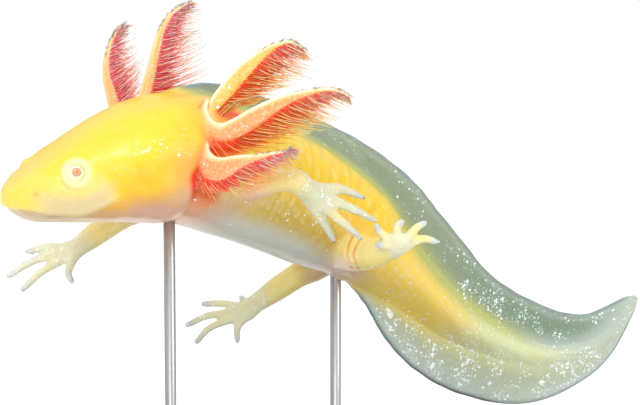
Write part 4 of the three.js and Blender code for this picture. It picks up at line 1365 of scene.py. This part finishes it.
# For each kind: how far past the face its rows start as a share of the red band, the spacing in a row, the
# share of the full reach, its radius and rings, how far it stands off the blade's plane, how wavy it is and
# how pale.
FILAMENT_KINDS = (
    {"rows": (-0.2, 0.1, 0.4, 0.8), "spacing": 0.42, "reach": (0.14, 0.40), "radius": 0.15, "rings": 4,
     "stand": (0.05, 0.34), "wave": 0.01, "pale": 0.0},
    {"rows": (0.2, 0.8), "spacing": 0.72, "reach": (0.45, 1.0), "radius": 0.125, "rings": 9,
     "stand": (0.02, 0.24), "wave": 0.04, "pale": 0.15},
    {"rows": (-0.15, 0.4), "spacing": 1.5, "reach": (0.45, 0.95), "radius": 0.11, "rings": 11,
     "stand": (0.22, 0.42), "wave": 0.06, "pale": 1.0},
)
FUZZ_COUNT = 90  # short grey filaments along the outer half of a gill's edge
FAN_COUNT = 70  # filaments that spread round a gill's tip


def clump_of(at, rng):
    """For places along a blade: the middle of the clump that each belongs to, and that clump's reach."""
    count = int(at.max() / CLUMP) + 3
    middles = (np.arange(count) + rng.uniform(-0.3, 0.3, count)) * CLUMP
    strength = rng.uniform(0.80, 1.12, count)
    index = np.abs(at[:, None] - middles[None, :]).argmin(1)
    return middles[index], strength[index]


def filament_roots(gill, kind, row, side, rng):
    """Facts of one row of filaments: shares, roots, headings, bends, waves, lengths, radii."""
    length = Path(gill["edge"], 40).length
    start = gill["start"]
    count = int(length * (1 - start) / kind["spacing"])
    share = start + (1 - start) * (np.arange(count) + 0.5 + rng.uniform(-0.4, 0.4, count)) / count
    place, along, out, face = gill_frame(gill, share)
    across = gill_value(gill, "widths", share) + band_width(share) * row
    half = blade_profile(gill, share, across) * 0.7
    root = place + out * across[:, None] + face * (side * half)[:, None]
    stand = rng.uniform(*kind["stand"], count) * side
    sweep = gill["sweep"] + rng.uniform(-0.12, 0.12, count) + FAN_SWEEP * smoothstep(share, 0.72, 1.0)
    sweep += gill["root_sweep"] * smoothstep(share, 0.34, 0.0)
    heading = unit(out + along * sweep[:, None] + face * stand[:, None])
    middle, strength = clump_of(share * length, rng)
    reach = gill_value(gill, "reach", share) * rng.uniform(*kind["reach"], count) * strength
    curl = gill["curl"] * (1 + rng.uniform(-0.25, 0.25, count))
    bend = along * (curl * reach + CLUMP_PULL * (middle - share * length))[:, None]
    bend += rng.uniform(-0.05, 0.05, (count, 3)) * reach[:, None] - face * (stand * reach * 0.8)[:, None]
    wave = along * (kind["wave"] * reach * rng.uniform(0.3, 1, count))[:, None]
    radius = kind["radius"] * rng.uniform(0.85, 1.15, count)
    return share, root, heading, bend, wave, reach, radius


def tip_roots(gill, rng):
    """Facts of the filaments that spread round the tip."""
    share = rng.uniform(0.86, 1.0, FAN_COUNT)
    place, along, out, face = gill_frame(gill, share)
    across = (gill_value(gill, "widths", share) + band_width(share)) * rng.uniform(0, 1, FAN_COUNT)
    turn = np.radians(rng.uniform(-38, 62, FAN_COUNT))
    stand = rng.uniform(-0.3, 0.3, FAN_COUNT)
    heading = unit(along * np.cos(turn)[:, None] + out * np.sin(turn)[:, None] + face * stand[:, None])
    reach = gill["reach"][-1] * rng.uniform(0.45, 1.0, FAN_COUNT) * (0.55 + 0.45 * np.sin(turn + 0.7))
    bend = (out * rng.uniform(0.0, 0.25, FAN_COUNT)[:, None] + along * 0.1) * reach[:, None]
    wave = out * (0.05 * reach)[:, None]
    radius = rng.uniform(0.10, 0.14, FAN_COUNT)
    return share, place + out * across[:, None], heading, bend, wave, reach, radius


def fuzz_roots(gill, rng):
    """Facts of the short fuzz along the outer half of the upper edge."""
    share = 0.42 + 0.58 * rng.uniform(0, 1, FUZZ_COUNT) ** 0.8
    place, along, out, face = gill_frame(gill, share)
    lift = rng.uniform(0.15, 0.6, FUZZ_COUNT)
    heading = unit(along - out * lift[:, None] + face * rng.uniform(-0.4, 0.4, FUZZ_COUNT)[:, None])
    reach = rng.uniform(0.5, 1.5, FUZZ_COUNT) * smoothstep(share, 0.36, 0.8)
    root = place + out * 0.25 + face * rng.uniform(-0.3, 0.3, FUZZ_COUNT)[:, None]
    bend, wave = along * (0.2 * reach)[:, None], np.zeros((FUZZ_COUNT, 3))
    return share, root, heading, bend, wave, reach, rng.uniform(0.08, 0.12, FUZZ_COUNT)


def filament_form(facts, rings):
    """Points, quads and tip triangles of a row of filaments, with how far along itself each point is."""
    _, root, heading, bend, wave, reach, radius = facts
    count, sides = len(root), FILAMENT_SIDES
    v = np.linspace(0, 1, rings)
    line = root[:, None] + heading[:, None] * (reach[:, None] * v)[..., None]
    line = line + bend[:, None] * (v**2)[:, None]
    line += wave[:, None] * (np.sin(9 * v[None, :] + 40 * radius[:, None] / 0.15) * v)[..., None]
    first = unit(np.cross(heading, bend + np.array([0.01, 0.02, 0.03])))
    second = np.cross(heading, first)
    turn = 2 * math.pi * np.arange(sides) / sides
    circle = first[:, None] * np.cos(turn)[:, None] + second[:, None] * np.sin(turn)[:, None]
    wide = radius[:, None] * (1 - 0.68 * v**1.3)
    body = line[:, :, None] + circle[:, None] * wide[:, :, None, None]
    tip = line[:, -1] + unit(line[:, -1] - line[:, -2]) * radius[:, None]
    points = np.concatenate([body.reshape(count, -1, 3), root[:, None], tip[:, None]], 1)
    per = rings * sides + 2
    ring, step = np.meshgrid(np.arange(rings - 1), np.arange(sides), indexing="ij")
    a, b = ring * sides + step, ring * sides + (step + 1) % sides
    quads = np.stack([a, b, b + sides, a + sides], -1).reshape(-1, 4)
    j = np.arange(sides)
    last = (rings - 1) * sides
    fans = np.concatenate([
        np.stack([(j + 1) % sides, j, np.full(sides, per - 2)], -1),
        np.stack([last + j, last + (j + 1) % sides, np.full(sides, per - 1)], -1),
    ])
    shift = (np.arange(count) * per)[:, None, None]
    grow = np.tile(np.concatenate([np.repeat(v, sides), [0, 1]]), (count, 1))
    quads, fans = (quads[None] + shift).reshape(-1, 4), (fans[None] + shift).reshape(-1, 3)
    return points.reshape(-1, 3), quads, fans, grow


def filament_rows(gill, rng):
    """Each row of a gill: facts, rings, place on the unwrap, paleness, and its colour's start and span."""
    for kind in FILAMENT_KINDS:
        for row in kind["rows"]:
            for side in (1, -1):
                facts = filament_roots(gill, kind, row, side, rng)
                span = facts[5] / gill_value(gill, "reach", facts[0])
                yield facts, kind["rings"], side * (0.2 + 0.2 * row), kind["pale"], 0.0, span
    yield tip_roots(gill, rng), 6, 0.44, 0.1, 0.5, np.full(FAN_COUNT, 0.55)
    yield fuzz_roots(gill, rng), 4, -0.46, 0.0, 0.82, np.full(FUZZ_COUNT, 0.3)


def make_filaments(name, gill, seed):
    """All the filaments of one gill as one mesh; each has a small patch of its own on the blade's unwrap."""
    rng = np.random.default_rng(seed)
    points, faces, grow, tone, pale, rosy, patches = [], [], [], [], [], [], []
    offset = 0
    for facts, rings, row, paleness, start, span in filament_rows(gill, rng):
        p, quads, fans, along = filament_form(facts, rings)
        count, per = along.shape
        faces += (quads + offset).tolist() + (fans + offset).tolist()
        offset += len(p)
        points.append(p)
        grow.append((start + along * span[:, None]).ravel())
        tone.append(np.repeat(rng.uniform(0, 1, count), per))
        pale.append(np.repeat(paleness * rng.uniform(0.5, 1, count), per))
        corner = np.stack([0.02 + 0.94 * facts[0], np.full(count, 0.5 + row)], -1)
        inside = PATCH * np.stack([along, np.tile(np.linspace(0, 1, per), (count, 1))], -1)
        patches.append((corner[:, None] + inside).reshape(-1, 2))
        rosy.append(np.repeat(gill["rosy"] + TIP_ROSY * smoothstep(facts[0], 0.45, 0.95), per))
    mesh = mesh_of(name, np.vstack(points), faces, scale=MM)
    for key, values in (("grow", grow), ("tone", tone), ("pale", pale), ("rosy", rosy)):
        add_attribute(mesh, key, "FLOAT", np.clip(np.concatenate(values), 0, None))
    layer = mesh.uv_layers.new(name="OFBake")
    corners = np.empty(len(mesh.loops), np.int32)
    mesh.loops.foreach_get("vertex_index", corners)
    layer.data.foreach_set("uv", np.vstack(patches).astype(np.float32)[corners].ravel())
    return link(name, mesh)


# ---- Eyes ----

def make_eye(name, side):
    """An eyeball with a low cornea; the attribute gaze is the angle from its axis in degrees."""
    centre, radius, outward = EYES[side]
    radius *= EYE_SHRINK
    around = np.radians(np.arange(0, 360, 7.5))
    polar = np.radians(np.concatenate([np.arange(1.5, 60, 2.5), np.arange(60, 180, 6.0)]))
    first = unit(np.cross(outward, [0.0, 0.0, 1.0]))
    second = np.cross(outward, first)
    bulge = 1 + 0.10 * bell(np.degrees(polar), 0, 34)
    circle = np.cos(around)[:, None] * first + np.sin(around)[:, None] * second
    rings = [centre + radius * bulge[i] * (outward * math.cos(a) + math.sin(a) * circle)
             for i, a in enumerate(polar)]
    points, faces = loft(np.array(rings))
    points = points + outward * EYE_STEP
    mesh = mesh_of(name, points, facing_out(points, faces), scale=MM)
    gaze = np.concatenate([np.repeat(np.degrees(polar), len(around)), [0, 180]])
    add_attribute(mesh, "gaze", "FLOAT", gaze)
    return link(name, mesh)


# ---- Stand ----

BASE_CORNER = 26.0
BASE_BEVEL = 1.2
# The rounded upper edge of the base: how far in, how far below the top.
BASE_EDGE = ((0.0, BASE_BEVEL), (0.10, 0.65), (0.35, 0.35), (0.65, 0.10), (BASE_BEVEL, 0.0))
ROD_SINK = 0.8  # how far a rod goes on inside the skin
# A rod's foot: radius as a share of the rod's, height over the base.
ROD_FOOT = ((2.1, 0.0), (2.1, 0.8), (1.9, 1.2), (1.15, 1.5), (1.0, 2.0))

def make_base():
    """A flat plate with round corners, a bevelled foot and a rounded upper edge."""
    low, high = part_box("stand_base")
    width, depth, thickness = (np.array(high) - np.array(low)) / MM
    x, y = width / 2 - BASE_CORNER, depth / 2 - BASE_CORNER
    turn = np.radians(np.arange(0, 360, 3.75))
    circle = np.stack([np.cos(turn), np.sin(turn)], 1)
    shift = np.where(circle >= -1e-9, [x, y], [-x, -y])
    profile = [(BASE_BEVEL, 0.0), (0.35, 0.35), (0.0, BASE_BEVEL)]
    profile += [(inset, thickness - drop) for inset, drop in BASE_EDGE]
    rings = [np.column_stack([shift + (BASE_CORNER - inset) * circle, np.full(len(turn), height)])
             for inset, height in profile]
    points, faces = loft(np.array(rings))
    return link("stand_plate", mesh_of("stand_plate", points, facing_out(points, faces), scale=MM))


def make_rod(name, node):
    """A rod with a small turned foot, from the base to just inside the skin."""
    low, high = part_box(node)
    radius = (high.x - low.x) / 2 / MM
    x, y = (low.x + high.x) / 2 / MM, (low.y + high.y) / 2 / MM
    top = high.z / MM + ROD_SINK
    profile = [(radius * wide, low.z / MM + height) for wide, height in ROD_FOOT]
    profile += [(radius, top - 0.2), (radius * 0.8, top)]
    turn = np.linspace(0, 2 * math.pi, 40, endpoint=False)
    rings = [np.column_stack([x + r * np.cos(turn), y + r * np.sin(turn), np.full(len(turn), z)])
             for r, z in profile]
    points, faces = loft(np.array(rings))
    return link(name, mesh_of(name, points, facing_out(points, faces), scale=MM))


# ---- Materials ----

class Nodes:
    """A short way to build a node material."""

    def __init__(self, name):
        self.material = bpy.data.materials.new(name)
        self.material.use_nodes = True
        self.tree = self.material.node_tree
        self.shader = self.tree.nodes["Principled BSDF"]

    def add(self, kind, **values):
        node = self.tree.nodes.new(kind)
        for key, value in values.items():
            if key.startswith("in_"):
                slot = key[3:]
                node.inputs[int(slot) if slot.isdigit() else slot].default_value = value
            else:
                setattr(node, key, value)
        return node

    def join(self, source, target):
        self.tree.links.new(source, target)

    def set(self, **values):
        for key, value in values.items():
            self.shader.inputs[key.replace("_", " ")].default_value = value

    def feed(self, slot, value):
        """Drives one input of the surface shader."""
        self.join(value, self.shader.inputs[slot])

    def attribute(self, name, output="Fac"):
        return self.add("ShaderNodeAttribute", attribute_name=name).outputs[output]

    def math(self, operation, first, second=None, third=None, clamp=False):
        node = self.add("ShaderNodeMath", operation=operation, use_clamp=clamp)
        for i, value in enumerate((first, second, third)):
            if value is None:
                continue
            if isinstance(value, (int, float)):
                node.inputs[i].default_value = value
            else:
                self.join(value, node.inputs[i])
        return node.outputs[0]

    def times(self, first, second):
        return self.math("MULTIPLY", first, second)

    def scaled(self, value, factor, base):
        """value * factor + base."""
        return self.math("MULTIPLY_ADD", value, factor, base)

    def blend(self, share, first, second, kind="MIX"):
        node = self.add("ShaderNodeMix", data_type="RGBA", blend_type=kind)
        for slot, value in ((0, share), (6, first), (7, second)):
            if isinstance(value, (int, float)):
                node.inputs[slot].default_value = value
            elif isinstance(value, (tuple, list, np.ndarray)):
                node.inputs[slot].default_value = (*value[:3], 1.0)
            else:
                self.join(value, node.inputs[slot])
        return node.outputs[2]

    def noise(self, scale, detail=3.0, roughness=0.55, vector=None, distortion=0.0):
        node = self.add("ShaderNodeTexNoise", in_Scale=scale, in_Detail=detail, in_Roughness=roughness,
                        in_Distortion=distortion)
        self.join(vector or self.place(), node.inputs["Vector"])
        return node.outputs["Fac"]

    def place(self):
        if not hasattr(self, "_place"):
            self._place = self.add("ShaderNodeTexCoord").outputs["Object"]
        return self._place

    def ramp(self, value, low, high, start=0.0, end=1.0):
        node = self.add("ShaderNodeMapRange", interpolation_type="SMOOTHSTEP")
        for slot, limit in (("From Min", low), ("From Max", high), ("To Min", start), ("To Max", end)):
            node.inputs[slot].default_value = limit
        self.join(value, node.inputs["Value"])
        return node.outputs["Result"]

    def bump(self, height, strength, distance):
        node = self.add("ShaderNodeBump", in_Strength=strength, in_Distance=distance)
        self.join(height, node.inputs["Height"])
        self.feed("Normal", node.outputs["Normal"])


TAIL_HEADING = math.radians(28)  # the tail's direction seen from above, which the flecks' arms follow
STAR_ARMS = 0.55  # the exponent of the cells' measure of distance, which below 1 makes stars of the flecks
FLECK_SCALES = {"large": 640, "small": 1150, "tiny": 2300}  # cells to the metre
FLECK_AND_GLINT_WHITE = srgb(240, 248, 250)
WARM_TINT = srgb(255, 240, 205)
MOTTLE_CREAM = srgb(255, 238, 196)
MOTTLE_TAN = srgb(255, 206, 150)
GRAIN_WHITE = srgb(255, 255, 245)
VEIN_GREEN = srgb(150, 164, 140)
# The colours of a filament from its root to its tip, where a gill is orange and where it is rosy. Each
# filament has its own colour between the two of a pair. strand is for the few pale filaments, whose pair
# runs from root to tip.
ORANGE_FILAMENT = {
    "root": (srgb(255, 58, 36), srgb(255, 116, 44)),
    "middle": (srgb(255, 130, 24), srgb(255, 168, 52)),
    "outer": srgb(255, 206, 120),
    "tip": srgb(186, 158, 120),
    "strand": (srgb(255, 176, 84), srgb(255, 236, 164)),
}
ROSY_FILAMENT = {
    "root": (srgb(248, 62, 88), srgb(255, 150, 150)),
    "middle": srgb(244, 150, 140),
    "outer": srgb(222, 186, 168),
    "tip": srgb(146, 138, 124),
    "strand": srgb(252, 216, 200),
}
# The eye's colours from the middle outwards.
PUPIL_ORANGE = srgb(230, 132, 40)
PUPIL_PALE = srgb(226, 158, 116)
PUPIL_RIM = srgb(176, 132, 116)
IRIS_CREAM = srgb(250, 226, 176)
IRIS_PALE = srgb(252, 240, 204)
# The stand and the floor; each pair is the two ends of a slow change.
PAINT_GREY = (srgb(58, 60, 62), srgb(66, 68, 70))
STEEL_GREY = (srgb(186, 188, 190), srgb(206, 207, 208))
FLOOR_WHITE = (srgb(250, 250, 250), srgb(254, 254, 254))


def specks(nodes, scale, density, size, warp):
    """Star-like flecks: in each cell of a cell texture, one with a chance given by density."""
    turned = nodes.add("ShaderNodeVectorRotate", rotation_type="Z_AXIS", in_Angle=-TAIL_HEADING)
    nodes.join(nodes.place(), turned.inputs["Vector"])
    shift = nodes.add("ShaderNodeTexNoise", in_Scale=scale * 1.7, in_Detail=2.0)
    nodes.join(turned.outputs[0], shift.inputs["Vector"])
    moved = nodes.add("ShaderNodeVectorMath", operation="MULTIPLY_ADD")
    nodes.join(shift.outputs["Color"], moved.inputs[0])
    moved.inputs[1].default_value = (warp / scale,) * 3
    nodes.join(turned.outputs[0], moved.inputs[2])
    cells = nodes.add("ShaderNodeTexVoronoi", distance="MINKOWSKI", in_Scale=scale, in_Randomness=1.0,
                      in_Exponent=STAR_ARMS)
    nodes.join(moved.outputs[0], cells.inputs["Vector"])
    chance = nodes.add("ShaderNodeSeparateColor")
    nodes.join(cells.outputs["Color"], chance.inputs[0])
    kept = nodes.math("LESS_THAN", chance.outputs[0], density)
    spread = nodes.scaled(chance.outputs[1], size * 0.8, size * 0.5)
    edge = nodes.math("SUBTRACT", spread, cells.outputs["Distance"])
    return nodes.times(kept, nodes.ramp(edge, 0.0, 0.22))


def mottled_ground(nodes, patches, grain):
    """The painted colour with warm patches, cream and tan mottling, fine grain and veins in the fins."""
    mottle = nodes.attribute("mottle")
    warmth = nodes.ramp(patches, 0.35, 0.75, 0.0, 0.30)
    colour = nodes.blend(warmth, nodes.attribute("ground", "Color"), WARM_TINT, "MULTIPLY")
    light = nodes.times(mottle, nodes.ramp(nodes.noise(1800, 4, 0.7), 0.48, 0.68, 0.0, 0.55))
    colour = nodes.blend(light, colour, MOTTLE_CREAM)
    deep = nodes.times(mottle, nodes.ramp(nodes.noise(800, 3, 0.6), 0.50, 0.30, 0.0, 0.5))
    colour = nodes.blend(deep, colour, MOTTLE_TAN, "MULTIPLY")
    colour = nodes.blend(nodes.ramp(grain, 0.35, 0.70, 0.0, 0.02), colour, GRAIN_WHITE)
    veins = nodes.ramp(nodes.noise(520, 5, 0.7, distortion=1.2), 0.42, 0.62, 0.30, 0.0)
    return nodes.blend(nodes.times(nodes.attribute("thin"), veins), colour, VEIN_GREEN)


def fleck_and_glint_stars(nodes):
    """White flecks in three sizes, in clusters, as thick as the skin's fleck attribute says; on the cheek,
    the lower flank and the limbs they are partly painted glints of wet skin.
    """
    fleck_and_glint = nodes.attribute("fleck_and_glint")
    clusters = nodes.ramp(nodes.noise(150, 2, 0.5), 0.40, 0.62, 0.10, 2.0)
    density = nodes.times(fleck_and_glint, clusters)
    where_thick = nodes.times(density, nodes.ramp(fleck_and_glint, 0.36, 0.5))
    large = specks(nodes, FLECK_SCALES["large"], where_thick, 0.95, 0.2)
    small = specks(nodes, FLECK_SCALES["small"], nodes.times(density, 1.25), 0.95, 0.25)
    tiny = specks(nodes, FLECK_SCALES["tiny"], nodes.scaled(density, 0.8, 0.02), 0.9, 0.4)
    return nodes.math("MAXIMUM", nodes.math("MAXIMUM", large, small), nodes.times(tiny, 0.8))


def skin_material():
    nodes = Nodes("axolotl_skin")
    patches = nodes.noise(260, 4, 0.6)
    grain = nodes.noise(1500, 3, 0.6)
    stars = fleck_and_glint_stars(nodes)
    ground = mottled_ground(nodes, patches, grain)
    # white flecks, on the cheek, the lower flank and the limbs partly painted glints of wet skin
    nodes.feed("Base Color", nodes.blend(nodes.times(stars, 0.90), ground, FLECK_AND_GLINT_WHITE))
    nodes.feed("Roughness", nodes.scaled(patches, 0.12, 0.26))
    nodes.set(Subsurface_Weight=0.22, Subsurface_Radius=(1.0, 0.45, 0.22), Subsurface_Scale=0.0022,
              Specular_IOR_Level=0.28, Coat_Weight=0.30, Coat_Roughness=0.08, IOR=1.40)
    height = nodes.scaled(grain, 0.5, nodes.times(patches, 0.8))
    nodes.bump(nodes.scaled(stars, 0.25, height), 0.35, 0.00025)
    return nodes.material


def filament_material():
    """Red at the root, then orange, gold and a greyish tip; rosier where the attribute rosy says so."""
    nodes = Nodes("gill_filaments")
    tone = nodes.attribute("tone")
    rosy = nodes.math("MINIMUM", nodes.attribute("rosy"), 1.0)
    blotch = nodes.noise(420, 3, 0.6)
    at = nodes.scaled(blotch, 0.24, nodes.math("SUBTRACT", nodes.attribute("grow"), 0.12))
    warm, cool = ORANGE_FILAMENT, ROSY_FILAMENT
    root = nodes.blend(rosy, nodes.blend(tone, *warm["root"]), nodes.blend(tone, *cool["root"]))
    middle = nodes.blend(rosy, nodes.blend(tone, *warm["middle"]), cool["middle"])
    colour = nodes.blend(nodes.ramp(at, 0.24, 0.48), root, middle)
    colour = nodes.blend(nodes.ramp(at, 0.50, 0.78), colour, nodes.blend(rosy, warm["outer"], cool["outer"]))
    strand = nodes.blend(rosy, nodes.blend(nodes.ramp(at, 0.0, 0.25), *warm["strand"]), cool["strand"])
    colour = nodes.blend(nodes.times(nodes.attribute("pale"), 0.9), colour, strand)
    colour = nodes.blend(nodes.ramp(at, 0.78, 1.0), colour, nodes.blend(rosy, warm["tip"], cool["tip"]))
    nodes.feed("Base Color", colour)
    nodes.set(Roughness=0.5, Specular_IOR_Level=0.2, Subsurface_Weight=0.6,
              Subsurface_Radius=(1.0, 0.3, 0.15), Subsurface_Scale=0.0008)
    nodes.bump(blotch, 0.2, 0.0001)
    return nodes.material


def eye_material():
    """Orange pupil with a thin grey-brown rim, in a pale iris that is a little warmer at its edge."""
    nodes = Nodes("axolotl_eye")
    gaze = nodes.attribute("gaze")
    rays = nodes.noise(2600, 3, 0.6)
    at = nodes.scaled(rays, 5.0, gaze)
    colour = nodes.blend(nodes.ramp(at, 30, 44), IRIS_CREAM, IRIS_PALE)
    colour = nodes.blend(nodes.ramp(at, 25, 29), PUPIL_RIM, colour)
    colour = nodes.blend(nodes.ramp(at, 18, 24), PUPIL_PALE, colour)
    colour = nodes.blend(nodes.ramp(at, 5, 17), PUPIL_ORANGE, colour)
    nodes.feed("Base Color", colour)
    nodes.set(Roughness=0.14, Coat_Weight=0.8, Coat_Roughness=0.05, Subsurface_Weight=0.2,
              Subsurface_Radius=(1.0, 0.5, 0.3), Subsurface_Scale=0.0006)
    nodes.bump(rays, 0.1, 0.00005)
    return nodes.material


def paint_material():
    nodes = Nodes("stand_paint")
    cloud = nodes.noise(60, 4, 0.6)
    fine = nodes.noise(2400, 2, 0.5)
    colour = nodes.blend(nodes.ramp(cloud, 0.3, 0.7), *PAINT_GREY)
    nodes.feed("Base Color", colour)
    nodes.feed("Roughness", nodes.scaled(cloud, 0.14, 0.40))
    nodes.bump(fine, 0.15, 0.0001)
    return nodes.material


def steel_material():
    nodes = Nodes("stand_steel")
    stretch = nodes.add("ShaderNodeMapping")
    stretch.inputs["Scale"].default_value = (3000, 3000, 60)
    nodes.join(nodes.place(), stretch.inputs["Vector"])
    brushed = nodes.noise(1.0, 3, 0.6, vector=stretch.outputs[0])
    colour = nodes.blend(brushed, *STEEL_GREY)
    nodes.feed("Base Color", colour)
    nodes.set(Metallic=1.0)
    nodes.feed("Roughness", nodes.scaled(brushed, 0.16, 0.22))
    nodes.bump(brushed, 0.08, 0.00005)
    return nodes.material


def floor_material():
    nodes = Nodes("studio_floor")
    colour = nodes.blend(nodes.noise(4, 2, 0.5), *FLOOR_WHITE)
    nodes.feed("Base Color", colour)
    nodes.set(Roughness=0.9, Specular_IOR_Level=0.1)
    return nodes.material


# ---- Studio ----

TARGET = Vector((8, 20, 70)) * MM
CAMERA_DISTANCE = 580 * MM
CAMERA_HEIGHT_ANGLE = math.radians(8)
LENS = 134.4
SENSOR = 36
SKY_LOW = 0.40  # brightness of the sky at the horizon and overhead
SKY_HIGH = 1.35
FLOOR_REACH = 9  # metres from the middle to the floor's edge
# Each light's name, place and size in metres, and power in watts.
LIGHTS = (
    ("key", (-0.30, -0.50, 0.85), 0.40, 2.5),
    ("side", (0.75, -0.35, 0.45), 0.45, 1.2),
    ("front", (-0.15, -1.00, 0.20), 0.60, 1.8),
)


def make_camera():
    camera = bpy.data.cameras.new("camera")
    camera.lens = LENS
    camera.sensor_width = SENSOR
    camera.clip_start = 0.02
    camera.clip_end = 30
    holder = bpy.data.objects.new("camera", camera)
    bpy.context.scene.collection.objects.link(holder)
    away = Vector((0, -math.cos(CAMERA_HEIGHT_ANGLE), math.sin(CAMERA_HEIGHT_ANGLE)))
    holder.location = TARGET + away * CAMERA_DISTANCE
    holder.rotation_euler = (-away).to_track_quat("-Z", "Y").to_euler()
    bpy.context.scene.camera = holder


def make_light(name, place, size, power):
    light = bpy.data.lights.new(name, "AREA")
    light.shape = "DISK"
    light.size = size
    light.energy = power
    holder = bpy.data.objects.new(name, light)
    bpy.context.scene.collection.objects.link(holder)
    holder.location = place
    holder.rotation_euler = (TARGET - Vector(place)).to_track_quat("-Z", "Y").to_euler()


def make_sky():
    """Soft white light that is strongest overhead."""
    world = bpy.data.worlds.new("studio")
    bpy.context.scene.world = world
    world.use_nodes = True
    tree = world.node_tree
    back = tree.nodes["Background"]
    place = tree.nodes.new("ShaderNodeTexCoord")
    parts = tree.nodes.new("ShaderNodeSeparateXYZ")
    grade = tree.nodes.new("ShaderNodeMapRange")
    grade.inputs["From Min"].default_value = 0.0
    grade.inputs["To Min"].default_value = SKY_LOW
    grade.inputs["To Max"].default_value = SKY_HIGH
    tree.links.new(place.outputs["Generated"], parts.inputs[0])
    tree.links.new(parts.outputs["Z"], grade.inputs["Value"])
    tree.links.new(grade.outputs["Result"], back.inputs["Strength"])
    back.inputs["Color"].default_value = (1, 1, 1, 1)


def make_studio():
    corners = [(x * FLOOR_REACH, y * FLOOR_REACH, 0) for x, y in ((-1, -1), (1, -1), (1, 1), (-1, 1))]
    floor = link("floor", mesh_of("floor", corners, [(0, 1, 2, 3)], smooth=False))
    floor.data.materials.append(floor_material())
    floor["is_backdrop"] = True
    make_sky()
    for name, place, size, power in LIGHTS:
        make_light(name, place, size, power)
    make_camera()
    bpy.context.scene.view_settings.view_transform = "Standard"


# ---- The whole model ----

def finished(piece, material, slot, *nodes):
    """Gives a piece its material and body, and names the CAD nodes that it replaces; slot is not used."""
    piece.data.materials.clear()
    piece.data.materials.append(material)
    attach(piece, "root")
    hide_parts(*nodes)


make_studio()

flesh = [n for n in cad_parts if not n.startswith(("stand_", "eye_"))]
finished(make_skin(), skin_material(), "skin", *flesh)
filaments = filament_material()
for gill_seed, (gill_name, gill_facts) in enumerate(GILLS.items()):
    finished(make_filaments(gill_name + "_filaments", gill_facts, gill_seed), filaments, "gill", gill_name)
eye_look = eye_material()
for eye_name, eye_side in (("eye_left", 1), ("eye_right", -1)):
    finished(make_eye(eye_name + "_ball", eye_side), eye_look, "eye", eye_name)
finished(make_base(), paint_material(), "stand_paint", "stand_base")
steel = steel_material()
for rod_node in ("stand_rod_front", "stand_rod_rear"):
    finished(make_rod(rod_node + "_turned", rod_node), steel, "stand_steel", rod_node)

boxes = {"cad": cad_box, "visual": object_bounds()}
{name: [list(map(float, corner)) for corner in box] for name, box in boxes.items()}
